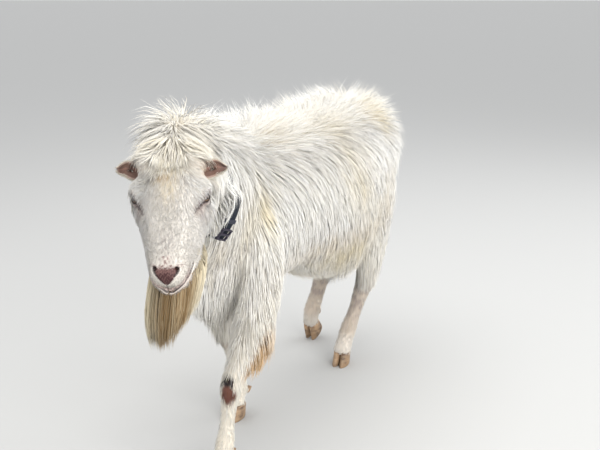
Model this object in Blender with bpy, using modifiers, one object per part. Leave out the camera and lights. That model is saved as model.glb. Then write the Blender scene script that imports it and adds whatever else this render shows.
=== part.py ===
"""A life-size LaMancha goat in a slow walk, its head turned to its left and lowered.

Metres, +Z up. The nose points to -Y and the animal's left side is +X. The outline runs out
to the tips of the coat. The body is modelled whole from lofted forms, made one surface, and
then parted into named pieces by thin cuts. Hooves, dewclaws, eyes, ears, beard and collar
are pieces of their own.
"""

import math
from dataclasses import dataclass

import bmesh
import bpy
import numpy as np
from mathutils import Matrix, Vector
from mathutils.bvhtree import BVHTree

# Clearances and the fineness of the surface
GAP = 0.0004
VOXEL = 0.006
SURFACE_RATIO = 0.0243
LOFT_SIDES = 28
STEPS_PER_RING = 6
CREST_SPREAD = 0.052

# The head: midpoint of the eyes, and the turn, dip and tilt of the face
HEAD_AT = Vector((0.138, -0.607, 0.728))
HEAD_YAW = math.radians(34.0)
HEAD_DIP = math.radians(31.5)
HEAD_TILT = math.radians(-0.6)
EYE_RADIUS = 0.0132
EYE_AT = Vector((0.0555, -0.003, 0.0025))
EYE_SOCKET_CLEARANCE = 0.0004
EAR_ROOT = Vector((0.060, 0.050, 0.022))
EAR_LENGTH = 0.054
EAR_HALF_WIDTH = 0.0165
EAR_CUP = 0.0075
EAR_THICKNESS = 0.0036
EAR_SWEEP = math.radians(8.0)
EAR_LIFT = math.radians(6.0)
EAR_FACE_UP = math.radians(-40.0)

BEARD_SLOPE = 0.40
BEARD_SLANT = 0.55

# Feet
CORONET_HEIGHT = 0.040
CLAW_HALF_WIDTH = 0.0128
CLAW_HALF_LENGTH = 0.0235
CLAW_SPREAD = 1.34
CLAW_FORWARD = 0.011
CLEFT = 0.0024
DEWCLAW_RADIUS = 0.0068
DEWCLAW_LENGTH = 0.020
FLOOR_FLAT = 0.0

# The collar: a strap that lies on the hair at the sides and sinks under the mane above
COLLAR_AT = Vector((0.060, -0.458, 0.705))
COLLAR_AXIS = Vector((0.42, -0.90, 0.10))
COLLAR_HALF_WIDTH = 0.123
COLLAR_TOP = 0.086
COLLAR_BOTTOM = 0.160
COLLAR_FLARE = math.radians(30.0)
COLLAR_SIDES = 48
COLLAR_SMOOTHINGS = 8
STRAP_WIDTH = 0.025
STRAP_THICKNESS = 0.0032
STRAP_PROUD = 0.001
KEEPER_AT = 43
KEEPER_SIZE = (0.009, 0.0295, 0.0072)
BUCKLE_AT = 41
BUCKLE_SIZE = (0.028, 0.0310, 0.0045)
BUCKLE_WINDOW = (0.0080, 0.0235)
BUCKLE_WINDOW_AT = 0.0065


@dataclass(frozen=True)
class Ring:
    """One cross-section of a lofted form.

    wide is the half width. high and low reach from the centre to either side of it: up and
    down on the trunk, neck and head, and to the back and the front on a leg. crest is the
    height of the raised hair on the midline, and square is the roundness: 2 is an ellipse.
    """

    at: tuple
    wide: float
    high: float
    low: float
    crest: float = 0.0
    square: float = 2.0


@dataclass(frozen=True)
class Finish:
    """The plain finish of a group of pieces."""

    name: str
    colour: tuple
    roughness: float


@dataclass(frozen=True)
class Region:
    """A box that takes one named piece off the body.

    face is the centre of the cut, inward points into the piece, and side is the box's width
    direction. sizes are its depth and its half extents along side and across it.
    """

    name: str
    face: tuple
    inward: tuple
    side: tuple
    sizes: tuple


COAT = Finish("coat", (0.86, 0.84, 0.78), 0.85)
BEARD = Finish("beard", (0.55, 0.42, 0.28), 0.85)
SKIN = Finish("ear skin", (0.62, 0.42, 0.36), 0.6)
HORN = Finish("hoof horn", (0.45, 0.31, 0.21), 0.5)
EYE = Finish("eye", (0.20, 0.10, 0.04), 0.15)
WEBBING = Finish("webbing", (0.03, 0.035, 0.06), 0.7)
PLASTIC = Finish("buckle", (0.03, 0.025, 0.045), 0.3)

# The trunk, from the breast to the rump
TRUNK = (
    Ring((0.0, -0.392, 0.490), 0.030, 0.035, 0.060),
    Ring((0.0, -0.372, 0.492), 0.070, 0.098, 0.112),
    Ring((0.0, -0.325, 0.506), 0.106, 0.180, 0.142),
    Ring((0.0, -0.250, 0.540), 0.134, 0.214, 0.178),
    Ring((0.0, -0.170, 0.562), 0.150, 0.212, 0.190, 0.050),
    Ring((0.0, -0.120, 0.570), 0.158, 0.205, 0.184, 0.068),
    Ring((0.0, -0.050, 0.570), 0.168, 0.200, 0.176, 0.056),
    Ring((0.0, 0.060, 0.570), 0.182, 0.200, 0.220, 0.050, 2.1),
    Ring((0.0, 0.170, 0.575), 0.187, 0.196, 0.256, 0.052, 2.3),
    Ring((0.0, 0.260, 0.585), 0.181, 0.190, 0.258, 0.056, 2.3),
    Ring((0.0, 0.330, 0.600), 0.170, 0.182, 0.225, 0.060, 2.2),
    Ring((0.0, 0.400, 0.615), 0.154, 0.164, 0.165, 0.054),
    Ring((0.0, 0.460, 0.630), 0.136, 0.140, 0.135, 0.044),
    Ring((0.0, 0.505, 0.638), 0.104, 0.106, 0.108, 0.026),
    Ring((0.0, 0.528, 0.640), 0.050, 0.052, 0.055, 0.008),
)

# The neck with its mane, from behind the poll to the shoulders
NECK = (
    Ring((0.120, -0.562, 0.752), 0.056, 0.052, 0.064),
    Ring((0.100, -0.538, 0.754), 0.090, 0.078, 0.094, 0.014, 2.2),
    Ring((0.074, -0.498, 0.748), 0.102, 0.096, 0.110, 0.030, 2.4),
    Ring((0.050, -0.453, 0.733), 0.110, 0.112, 0.128, 0.038, 2.5),
    Ring((0.026, -0.400, 0.708), 0.124, 0.126, 0.162, 0.040, 2.4),
    Ring((0.012, -0.340, 0.670), 0.124, 0.138, 0.182, 0.030),
    Ring((0.0, -0.270, 0.625), 0.130, 0.152, 0.192, 0.016),
    Ring((0.0, -0.200, 0.600), 0.118, 0.150, 0.170),
)

# The tail, hanging from its root
TAIL = (
    Ring((0.0, 0.468, 0.704), 0.034, 0.024, 0.030),
    Ring((0.0, 0.512, 0.704), 0.038, 0.026, 0.028),
    Ring((0.0, 0.542, 0.682), 0.039, 0.024, 0.024),
    Ring((0.0, 0.556, 0.644), 0.036, 0.020, 0.020),
    Ring((0.0, 0.560, 0.606), 0.027, 0.015, 0.015),
    Ring((0.0, 0.556, 0.574), 0.010, 0.006, 0.006),
)

# The head about the midpoint of its eyes, from the nose to the poll
SKULL = (
    Ring((0.001, -0.176, -0.023), 0.009, 0.009, 0.007),
    Ring((0.002, -0.170, -0.023), 0.023, 0.019, 0.014, 0.0, 2.3),
    Ring((0.002, -0.158, -0.022), 0.0305, 0.027, 0.019, 0.0, 2.3),
    Ring((0.003, -0.140, -0.022), 0.0340, 0.035, 0.022, 0.0, 2.3),
    Ring((0.003, -0.115, -0.024), 0.0395, 0.045, 0.026, 0.0, 2.4),
    Ring((0.003, -0.085, -0.028), 0.0465, 0.057, 0.030, 0.0, 2.5),
    Ring((0.001, -0.050, -0.030), 0.0550, 0.070, 0.040, 0.0, 2.4),
    Ring((0.0, -0.020, -0.028), 0.063, 0.077, 0.050, 0.0, 2.3),
    Ring((0.0, 0.008, -0.024), 0.068, 0.082, 0.058, 0.0, 2.2),
    Ring((0.0, 0.040, -0.018), 0.066, 0.083, 0.062, 0.0, 2.2),
    Ring((0.0, 0.070, -0.010), 0.056, 0.074, 0.058, 0.0, 2.1),
    Ring((0.0, 0.092, -0.004), 0.034, 0.046, 0.040),
)
JAW = (
    Ring((0.004, -0.165, -0.049), 0.017, 0.009, 0.009),
    Ring((0.005, -0.152, -0.051), 0.0335, 0.014, 0.015, 0.0, 2.2),
    Ring((0.006, -0.132, -0.051), 0.0415, 0.018, 0.019, 0.0, 2.2),
    Ring((0.006, -0.100, -0.053), 0.0485, 0.022, 0.024, 0.0, 2.2),
    Ring((0.003, -0.060, -0.056), 0.054, 0.026, 0.034, 0.0, 2.2),
    Ring((0.0, -0.020, -0.056), 0.061, 0.034, 0.046, 0.0, 2.2),
    Ring((0.0, 0.020, -0.050), 0.066, 0.040, 0.052, 0.0, 2.1),
    Ring((0.0, 0.055, -0.036), 0.056, 0.040, 0.050),
    Ring((0.0, 0.078, -0.028), 0.034, 0.028, 0.034),
)
BROW_AT = (0.055, 0.006, 0.017)
BROW_RADII = (0.019, 0.027, 0.015)
BOSS_AT = (0.030, 0.044, 0.044)
BOSS_RADII = (0.026, 0.028, 0.020)

# Long hair behind each forearm, from the elbow to its tips above the knee
FRINGE_LEFT = (
    Ring((0.114, -0.262, 0.420), 0.012, 0.012, 0.020),
    Ring((0.112, -0.262, 0.360), 0.017, 0.020, 0.026),
    Ring((0.108, -0.262, 0.305), 0.018, 0.021, 0.030),
    Ring((0.104, -0.262, 0.265), 0.013, 0.016, 0.026),
    Ring((0.102, -0.260, 0.240), 0.005, 0.007, 0.010),
)
FRINGE_RIGHT = (
    Ring((-0.096, -0.166, 0.420), 0.012, 0.012, 0.020),
    Ring((-0.090, -0.146, 0.360), 0.016, 0.020, 0.026),
    Ring((-0.084, -0.134, 0.305), 0.016, 0.021, 0.027),
    Ring((-0.080, -0.130, 0.268), 0.012, 0.015, 0.023),
    Ring((-0.078, -0.128, 0.244), 0.005, 0.006, 0.010),
)

# Forelegs, from the shoulder to the coronet, as offsets about the leg's own joints
FORE_LEFT = (
    Ring((0.070, -0.235, 0.690), 0.034, 0.040, 0.045),
    Ring((0.092, -0.248, 0.600), 0.045, 0.066, 0.072),
    Ring((0.104, -0.262, 0.520), 0.054, 0.070, 0.076),
    Ring((0.110, -0.278, 0.450), 0.051, 0.062, 0.068),
    Ring((0.106, -0.308, 0.370), 0.043, 0.056, 0.050),
    Ring((0.099, -0.343, 0.300), 0.033, 0.046, 0.036),
    Ring((0.092, -0.369, 0.250), 0.027, 0.027, 0.030, 0.0, 2.3),
    Ring((0.090, -0.376, 0.228), 0.026, 0.024, 0.029, 0.0, 2.3),
    Ring((0.087, -0.380, 0.198), 0.022, 0.020, 0.022),
    Ring((0.084, -0.387, 0.150), 0.019, 0.019, 0.018),
    Ring((0.081, -0.395, 0.098), 0.024, 0.026, 0.021),
    Ring((0.080, -0.404, 0.070), 0.023, 0.024, 0.020),
    Ring((0.079, -0.414, 0.044), 0.027, 0.026, 0.026),
    Ring((0.079, -0.418, 0.030), 0.027, 0.026, 0.026),
)
FORE_RIGHT = (
    Ring((-0.070, -0.225, 0.690), 0.034, 0.040, 0.045),
    Ring((-0.090, -0.228, 0.600), 0.045, 0.066, 0.072),
    Ring((-0.098, -0.222, 0.520), 0.050, 0.070, 0.072),
    Ring((-0.094, -0.208, 0.450), 0.045, 0.058, 0.056),
    Ring((-0.086, -0.190, 0.370), 0.036, 0.046, 0.042),
    Ring((-0.078, -0.174, 0.300), 0.030, 0.037, 0.033),
    Ring((-0.074, -0.163, 0.250), 0.026, 0.026, 0.029, 0.0, 2.3),
    Ring((-0.072, -0.159, 0.228), 0.025, 0.023, 0.028, 0.0, 2.3),
    Ring((-0.070, -0.153, 0.198), 0.021, 0.020, 0.021),
    Ring((-0.067, -0.143, 0.150), 0.019, 0.019, 0.018),
    Ring((-0.064, -0.133, 0.098), 0.024, 0.026, 0.021),
    Ring((-0.063, -0.139, 0.070), 0.023, 0.024, 0.020),
    Ring((-0.062, -0.147, 0.044), 0.027, 0.026, 0.026),
    Ring((-0.062, -0.151, 0.030), 0.027, 0.026, 0.026),
)
HIND_LEFT = (
    Ring((0.080, 0.345, 0.660), 0.060, 0.105, 0.100),
    Ring((0.100, 0.338, 0.560), 0.062, 0.118, 0.120),
    Ring((0.104, 0.320, 0.470), 0.055, 0.124, 0.110),
    Ring((0.100, 0.320, 0.400), 0.046, 0.116, 0.080),
    Ring((0.093, 0.326, 0.340), 0.036, 0.078, 0.052),
    Ring((0.085, 0.330, 0.290), 0.028, 0.048, 0.036),
    Ring((0.079, 0.332, 0.252), 0.025, 0.033, 0.028, 0.0, 2.3),
    Ring((0.070, 0.326, 0.218), 0.0225, 0.025, 0.024),
    Ring((0.056, 0.316, 0.160), 0.0195, 0.021, 0.020),
    Ring((0.041, 0.301, 0.098), 0.025, 0.027, 0.023),
    Ring((0.038, 0.290, 0.070), 0.024, 0.025, 0.021),
    Ring((0.036, 0.278, 0.044), 0.027, 0.026, 0.026),
    Ring((0.035, 0.273, 0.030), 0.027, 0.026, 0.026),
)
HIND_RIGHT = (
    Ring((-0.080, 0.350, 0.660), 0.060, 0.105, 0.100),
    Ring((-0.100, 0.350, 0.560), 0.062, 0.118, 0.118),
    Ring((-0.106, 0.346, 0.470), 0.056, 0.118, 0.110),
    Ring((-0.106, 0.364, 0.400), 0.047, 0.102, 0.086),
    Ring((-0.104, 0.388, 0.340), 0.038, 0.078, 0.060),
    Ring((-0.101, 0.404, 0.290), 0.030, 0.054, 0.040),
    Ring((-0.101, 0.410, 0.252), 0.027, 0.038, 0.030, 0.0, 2.3),
    Ring((-0.105, 0.402, 0.218), 0.025, 0.028, 0.026),
    Ring((-0.115, 0.388, 0.160), 0.022, 0.024, 0.023),
    Ring((-0.125, 0.374, 0.108), 0.025, 0.028, 0.025),
    Ring((-0.129, 0.373, 0.083), 0.024, 0.025, 0.023),
    Ring((-0.133, 0.379, 0.060), 0.026, 0.026, 0.025),
    Ring((-0.136, 0.382, 0.048), 0.026, 0.026, 0.025),
)


@dataclass(frozen=True)
class Foot:
    """Where a foot stands: the middle of its coronet, its turn outward, and the heel's lift.

    dewclaw is how far behind and above the coronet's middle the dewclaws grow.
    """

    name: str
    coronet: tuple
    turn: float
    heel_lift: float = 0.0
    dewclaw: tuple = (0.039, 0.026)


FEET = (
    Foot("foreleg_left", (0.079, -0.415, CORONET_HEIGHT), math.radians(4)),
    Foot("foreleg_right", (-0.062, -0.148, CORONET_HEIGHT), math.radians(-4)),
    Foot("hindleg_left", (0.036, 0.277, CORONET_HEIGHT), math.radians(6)),
    Foot("hindleg_right", (-0.133, 0.379, 0.058), math.radians(-8), math.radians(38),
         (0.043, 0.008)),
)

# Where the body is parted, in the order of the cuts
JAW_CUT_AT = (0.0, -0.075, -0.053)
JAW_CUT_SIZES = (0.12, 0.075, 0.110)
REGIONS = (
    Region("head", (0.120, -0.553, 0.740), (0.52, -0.80, 0.28), (0.84, 0.54, 0.0),
           (0.40, 0.20, 0.25)),
    Region("neck", (0.0, -0.290, 0.640), (0.10, -0.80, 0.60), (1.0, 0.0, 0.0),
           (0.45, 0.25, 0.30)),
    Region("tail", (0.0, 0.505, 0.700), (0.0, 0.93, -0.37), (1.0, 0.0, 0.0),
           (0.20, 0.045, 0.13)),
    Region("foreleg_left_lower", (0.094, -0.360, 0.262), (0.0, -0.30, -0.95),
           (1.0, 0.0, 0.0), (0.30, 0.07, 0.08)),
    Region("foreleg_right_lower", (-0.076, -0.165, 0.262), (0.0, 0.20, -0.98),
           (1.0, 0.0, 0.0), (0.30, 0.07, 0.07)),
    Region("hindleg_left_lower", (0.085, 0.345, 0.275), (-0.05, 0.0, -1.0),
           (1.0, 0.0, 0.0), (0.30, 0.08, 0.09)),
    Region("hindleg_right_lower", (-0.090, 0.418, 0.275), (0.0, 0.0, -1.0),
           (1.0, 0.0, 0.0), (0.30, 0.08, 0.09)),
    Region("foreleg_left_upper", (0.110, -0.295, 0.445), (0.62, -0.15, -0.78),
           (0.0, 1.0, 0.0), (0.40, 0.105, 0.18)),
    Region("foreleg_right_upper", (-0.100, -0.195, 0.440), (-0.62, 0.10, -0.78),
           (0.0, 1.0, 0.0), (0.40, 0.100, 0.18)),
    Region("thigh_left", (0.088, 0.365, 0.530), (0.86, 0.02, -0.51),
           (0.0, 0.97, -0.24), (0.40, 0.175, 0.22)),
    Region("thigh_right", (-0.088, 0.375, 0.530), (-0.86, 0.02, -0.51),
           (0.0, 0.97, -0.24), (0.40, 0.175, 0.22)),
)


def clear_scene():
    """Remove whatever the scene holds."""
    for thing in list(bpy.data.objects):
        bpy.data.objects.remove(thing, do_unlink=True)


def collection_of(name):
    """Return a new collection linked to the scene."""
    group = bpy.data.collections.new(name)
    bpy.context.scene.collection.children.link(group)
    return group


def material_of(finish):
    """Return the material of a finish, made once."""
    material = bpy.data.materials.get(finish.name)
    if material is None:
        material = bpy.data.materials.new(finish.name)
        material.use_nodes = True
        shader = material.node_tree.nodes["Principled BSDF"]
        shader.inputs["Base Color"].default_value = (*finish.colour, 1.0)
        shader.inputs["Roughness"].default_value = finish.roughness
        shader.inputs["Metallic"].default_value = 0.0
    return material


def object_of(name, mesh, group, finish=None):
    """Return a new object of the mesh in the group, with its finish."""
    piece = bpy.data.objects.new(name, mesh)
    group.objects.link(piece)
    if finish is not None:
        mesh.materials.clear()
        mesh.materials.append(material_of(finish))
        mesh.shade_smooth()
        mesh.set_sharp_from_angle(angle=math.radians(50))
    return piece


def applied(piece):
    """Return a new mesh of the object with its modifiers applied, and remove the object."""
    graph = bpy.context.evaluated_depsgraph_get()
    mesh = bpy.data.meshes.new_from_object(piece.evaluated_get(graph))
    mesh.transform(piece.matrix_world)
    bpy.data.objects.remove(piece, do_unlink=True)
    return mesh


def catmull_rom(values, steps):
    """Return the values with smooth steps between each two of them."""
    values = np.asarray(values, float)
    ends = np.concatenate([2 * values[:1] - values[1:2], values, 2 * values[-1:] - values[-2:-1]])
    found = []
    for i in range(len(values) - 1):
        a, b, c, d = ends[i:i + 4]
        for k in range(steps):
            t = k / steps
            found.append(0.5 * (2 * b + (c - a) * t + (2 * a - 5 * b + 4 * c - d) * t ** 2
                                + (3 * b - a - 3 * c + d) * t ** 3))
    return np.array(found + [values[-1]])


def ring_points(centre, side, up, ring, crest, square):
    """Return the points of one cross-section about its centre."""
    wide, high, low = ring
    points = []
    for i in range(LOFT_SIDES):
        angle = 2 * math.pi * i / LOFT_SIDES
        c, s = math.cos(angle), math.sin(angle)
        across = math.copysign(abs(c) ** (2 / square), c) * wide
        along = math.copysign(abs(s) ** (2 / square), s) * (high if s > 0 else low)
        if s > 0:
            along += crest * math.exp(-(across / CREST_SPREAD) ** 2)
        points.append(centre + side * across + up * along)
    return points


def loft(rings, sideways=(1.0, 0.0, 0.0), steps=STEPS_PER_RING):
    """Return the points and faces of a closed form through the rings.

    The path runs so that side x path points to the high side of each ring.
    """
    path = catmull_rom([ring.at for ring in rings], steps)
    sizes = catmull_rom([(r.wide, r.high, r.low, r.crest, r.square) for r in rings], steps)
    sizes[:, :3] = np.maximum(sizes[:, :3], 0.002)
    tangents = np.gradient(path, axis=0)
    points = []
    for centre, size, tangent in zip(path, sizes, tangents):
        tangent = Vector(tangent).normalized()
        side = Vector(sideways)
        side = (side - tangent * side.dot(tangent)).normalized()
        points += ring_points(Vector(centre), side, side.cross(tangent), size[:3],
                              max(size[3], 0.0), size[4])
    count = len(path)
    faces = []
    for i in range(count - 1):
        for j in range(LOFT_SIDES):
            k = (j + 1) % LOFT_SIDES
            a, b = i * LOFT_SIDES, (i + 1) * LOFT_SIDES
            faces.append((a + j, b + j, b + k, a + k))
    faces.append(tuple(range(LOFT_SIDES)))
    faces.append(tuple(reversed(range((count - 1) * LOFT_SIDES, count * LOFT_SIDES))))
    return points, faces


def mesh_of(name, points, faces):
    """Return a mesh of the points and faces, with its normals outward."""
    mesh = bpy.data.meshes.new(name)
    mesh.from_pydata([tuple(point) for point in points], [], faces)
    shape = bmesh.new()
    shape.from_mesh(mesh)
    bmesh.ops.recalc_face_normals(shape, faces=shape.faces)
    shape.to_mesh(mesh)
    shape.free()
    return mesh


def ellipsoid_mesh(name, centre, radii, segments=24):
    """Return a mesh of an ellipsoid."""
    mesh = bpy.data.meshes.new(name)
    shape = bmesh.new()
    bmesh.ops.create_uvsphere(shape, u_segments=segments, v_segments=segments // 2, radius=1.0)
    bmesh.ops.transform(shape, matrix=Matrix.Translation(centre) @ Matrix.Diagonal((*radii, 1.0)),
                        verts=shape.verts)
    shape.to_mesh(mesh)
    shape.free()
    return mesh


def head_matrix():
    """Return the head's place: turned, dipped and tilted about the midpoint of the eyes."""
    return (Matrix.Translation(HEAD_AT) @ Matrix.Rotation(HEAD_YAW, 4, "Z")
            @ Matrix.Rotation(HEAD_DIP, 4, "X") @ Matrix.Rotation(HEAD_TILT, 4, "Y"))


def head_meshes():
    """Return the forms of the head: skull, lower jaw, brows and horn bosses."""
    meshes = [mesh_of("skull", *loft(SKULL)), mesh_of("jaw", *loft(JAW))]
    for side in (-1, 1):
        for place, radii in ((BROW_AT, BROW_RADII), (BOSS_AT, BOSS_RADII)):
            meshes.append(ellipsoid_mesh("brow", (side * place[0], *place[1:]), radii))
    for mesh in meshes:
        mesh.transform(head_matrix())
    return meshes


def joined(name, meshes):
    """Return one mesh that holds all the given ones."""
    shape = bmesh.new()
    for mesh in meshes:
        shape.from_mesh(mesh)
        bpy.data.meshes.remove(mesh)
    whole = bpy.data.meshes.new(name)
    shape.to_mesh(whole)
    shape.free()
    return whole


def whole_body(group):
    """Return the whole body as one closed mesh: lofted forms made one surface and thinned out."""
    meshes = head_meshes()
    for name, rings in (("trunk", TRUNK), ("neck", NECK), ("tail", TAIL),
                        ("fore_left", FORE_LEFT), ("fore_right", FORE_RIGHT),
                        ("hind_left", HIND_LEFT), ("hind_right", HIND_RIGHT),
                        ("fringe_left", FRINGE_LEFT), ("fringe_right", FRINGE_RIGHT)):
        meshes.append(mesh_of(name, *loft(rings)))
    body = object_of("whole", joined("whole", meshes), group)
    remesh = body.modifiers.new("one_surface", "REMESH")
    remesh.mode = "VOXEL"
    remesh.voxel_size = VOXEL
    soften = body.modifiers.new("soften", "SMOOTH")
    soften.factor = 0.5
    soften.iterations = 3
    thin = body.modifiers.new("thin_out", "DECIMATE")
    thin.ratio = SURFACE_RATIO
    return applied(body)


def cutter_mesh(region, grown):
    """Return the region's box, its face and sides moved out by grown."""
    inward = Vector(region.inward).normalized()
    side = Vector(region.side)
    side = (side - inward * side.dot(inward)).normalized()
    across = inward.cross(side)
    depth, half_side, half_across = region.sizes
    mesh = bpy.data.meshes.new(region.name + "_box")
    shape = bmesh.new()
    bmesh.ops.create_cube(shape, size=1.0)
    turn = Matrix((side, across, inward)).transposed().to_4x4()
    size = Matrix.Diagonal((2 * (half_side + grown), 2 * (half_across + grown), depth + grown, 1.0))
    centre = Vector(region.face) + inward * (depth - grown) / 2
    bmesh.ops.transform(shape, matrix=Matrix.Translation(centre) @ turn @ size, verts=shape.verts)
    shape.to_mesh(mesh)
    shape.free()
    return mesh


def boolean(mesh, tool, operation, group):
    """Return the mesh after a Boolean with the tool's mesh."""
    target = object_of("target", mesh, group)
    other = object_of("tool", tool, group)
    cut = target.modifiers.new("cut", "BOOLEAN")
    cut.operation = operation
    cut.object = other
    cut.solver = "EXACT"
    result = applied(target)
    bpy.data.objects.remove(other, do_unlink=True)
    return result


def largest_body(mesh):
    """Return the mesh with only its largest closed body kept."""
    shape = bmesh.new()
    shape.from_mesh(mesh)
    shape.verts.ensure_lookup_table()
    seen = set()
    bodies = []
    for vertex in shape.verts:
        if vertex.index in seen:
            continue
        stack, body = [vertex], []
        seen.add(vertex.index)
        while stack:
            here = stack.pop()
            body.append(here)
            for edge in here.link_edges:
                other = edge.other_vert(here)
                if other.index not in seen:
                    seen.add(other.index)
                    stack.append(other)
        bodies.append(body)
    bodies.sort(key=len)
    loose = [vertex for body in bodies[:-1] for vertex in body]
    bmesh.ops.delete(shape, geom=loose, context="VERTS")
    bmesh.ops.triangulate(shape, faces=shape.faces)
    shape.to_mesh(mesh)
    shape.free()
    return mesh


def inflated(mesh, distance):
    """Return a copy of the mesh with its surface moved out."""
    copy = mesh.copy()
    shape = bmesh.new()
    shape.from_mesh(copy)
    shape.normal_update()
    for vertex in shape.verts:
        vertex.co += vertex.normal * distance
    shape.to_mesh(copy)
    shape.free()
    return copy


def jaw_region():
    """Return the box that takes the lower jaw off the head, along the mouth."""
    place = head_matrix()
    turn = place.to_3x3()
    return Region("lower_jaw", tuple(place @ Vector(JAW_CUT_AT)), tuple(turn @ Vector((0, 0, -1))),
                  tuple(turn @ Vector((1, 0, 0))), JAW_CUT_SIZES)


def part_body(body, group):
    """Return the body's named pieces, cut off it one region at a time."""
    pieces = {}
    for region in (jaw_region(), *REGIONS):
        pieces[region.name] = largest_body(
            boolean(body.copy(), cutter_mesh(region, 0.0), "INTERSECT", group))
        body = boolean(body, cutter_mesh(region, GAP), "DIFFERENCE", group)
    pieces["trunk"] = largest_body(body)
    return pieces


def eye_meshes():
    """Return the two eyeballs by name."""
    found = {}
    for name, side in (("eye_left", 1), ("eye_right", -1)):
        centre = head_matrix() @ Vector((side * EYE_AT.x, EYE_AT.y, EYE_AT.z))
        found[name] = ellipsoid_mesh(name, centre, (EYE_RADIUS,) * 3, 16)
    return found


def ear_mesh(name, side):
    """Return one short ear: a small leaf, cupped forward, thickened to a shell."""
    rows, columns = 7, 7
    turn = (Matrix.Rotation(EAR_FACE_UP, 4, "X") @ Matrix.Rotation(-side * EAR_LIFT, 4, "Y")
            @ Matrix.Rotation(side * EAR_SWEEP, 4, "Z"))
    points = []
    for i in range(rows):
        u = i / (rows - 1)
        half = EAR_HALF_WIDTH * (math.sin(math.pi * (0.30 + 0.68 * u)) ** 0.8 * 0.95 + 0.08)
        curl = 0.010 * u ** 2
        for j in range(columns):
            v = -1 + 2 * j / (columns - 1)
            local = Vector((side * (u * EAR_LENGTH - 0.014),
                            EAR_CUP * (1 - v * v) * (1 - 0.5 * u) - 0.004,
                            v * half + curl))
            points.append(turn @ local)
    faces = []
    for i in range(rows - 1):
        for j in range(columns - 1):
            a = i * columns + j
            faces.append((a, a + 1, a + columns + 1, a + columns))
    mesh = mesh_of(name, points, faces)
    root = Vector((side * EAR_ROOT.x, EAR_ROOT.y, EAR_ROOT.z))
    mesh.transform(head_matrix() @ Matrix.Translation(root))
    return mesh


def ears(head, group):
    """Return the ears as closed shells that end just off the head's surface."""
    found = {}
    for name, side in (("ear_left", 1), ("ear_right", -1)):
        sheet = object_of(name, ear_mesh(name, side), group)
        shell = sheet.modifiers.new("thickness", "SOLIDIFY")
        shell.thickness = EAR_THICKNESS
        shell.offset = 0.0
        found[name] = largest_body(
            boolean(applied(sheet), inflated(head, GAP), "DIFFERENCE", group))
    return found


def beard_mesh():
    """Return the beard: a deep fan of hair that hangs from the jaw, tapering to its tips."""
    levels = (
        (0.000, 0.068, 0.046, 0.000),
        (0.030, 0.070, 0.053, 0.002),
        (0.056, 0.065, 0.053, 0.008),
        (0.084, 0.057, 0.050, 0.016),
        (0.106, 0.046, 0.043, 0.022),
        (0.119, 0.031, 0.031, 0.026),
        (0.125, 0.008, 0.010, 0.028),
    )
    root = head_matrix() @ Vector((0.013, -0.088, -0.056))
    forward = Vector((math.sin(HEAD_YAW), -math.cos(HEAD_YAW), 0.0))
    across = Vector((math.cos(HEAD_YAW), math.sin(HEAD_YAW), 0.0))
    sizes = catmull_rom(levels, 2)
    points = []
    sides = 14
    for drop, half_long, half_wide, lean in sizes:
        for i in range(sides):
            angle = 2 * math.pi * i / sides
            lock = 1 + 0.05 * math.cos(5 * angle) * drop / 0.1
            along = math.cos(angle) * half_long * lock + lean
            slope = -BEARD_SLOPE * half_long * math.cos(angle)
            fall = drop - BEARD_SLANT * min(2 * drop, half_wide) * math.sin(angle)
            points.append(root + forward * along
                          + across * (math.sin(angle) * half_wide * lock - 0.014 * drop / 0.1)
                          + Vector((0.0, 0.0, slope - fall)))
    faces = []
    for i in range(len(sizes) - 1):
        for j in range(sides):
            k = (j + 1) % sides
            faces.append((i * sides + j, (i + 1) * sides + j, (i + 1) * sides + k, i * sides + k))
    faces.append(tuple(range(sides)))
    faces.append(tuple(range((len(sizes) - 1) * sides, len(sizes) * sides)))
    return mesh_of("beard", points, faces)


def foot_matrix(foot):
    """Return the foot's place: turned outward and tipped on its toe about the coronet."""
    return (Matrix.Translation(foot.coronet) @ Matrix.Rotation(foot.turn, 4, "Z")
            @ Matrix.Rotation(foot.heel_lift, 4, "X"))


def claw_mesh(foot, side):
    """Return one claw of a cloven hoof, from the coronet to below its sole."""
    sides, levels = 14, 5
    height = CORONET_HEIGHT if foot.heel_lift == 0.0 else CORONET_HEIGHT + 0.004
    points = []
    for i in range(levels):
        t = i / (levels - 1)
        half_length = CLAW_HALF_LENGTH * (1 + (CLAW_SPREAD - 1) * t)
        for j in range(sides):
            angle = 2 * math.pi * j / sides
            toe = max(0.0, -math.sin(angle))
            wide = CLAW_HALF_WIDTH * (1.0 - 0.30 * toe ** 2)
            x = math.cos(angle) * wide
            x = max(x, -CLAW_HALF_WIDTH * 0.80) + CLAW_HALF_WIDTH * 0.80 + CLEFT / 2
            y = math.sin(angle) * half_length - CLAW_FORWARD * t
            points.append((side * x, y, -GAP - t * (height - GAP)))
    faces = []
    for i in range(levels - 1):
        for j in range(sides):
            k = (j + 1) % sides
            faces.append((i * sides + j, (i + 1) * sides + j, (i + 1) * sides + k, i * sides + k))
    faces.append(tuple(range(sides)))
    faces.append(tuple(range((levels - 1) * sides, levels * sides)))
    mesh = mesh_of("claw", points, faces)
    mesh.transform(foot_matrix(foot))
    return mesh


def floor_box():
    """Return a box under the floor, which trims what reaches below it."""
    return cutter_mesh(Region("floor", (0, 0, FLOOR_FLAT), (0, 0, -1), (1, 0, 0), (0.5, 2, 2)), 0.0)


def coronet_box(foot):
    """Return the box below the foot's coronet, which trims the end of the leg."""
    turn = foot_matrix(foot)
    down = turn.to_3x3() @ Vector((0, 0, -1))
    side = turn.to_3x3() @ Vector((1, 0, 0))
    region = Region("coronet", foot.coronet, tuple(down), tuple(side), (0.12, 0.06, 0.06))
    return cutter_mesh(region, 0.0)


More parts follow.
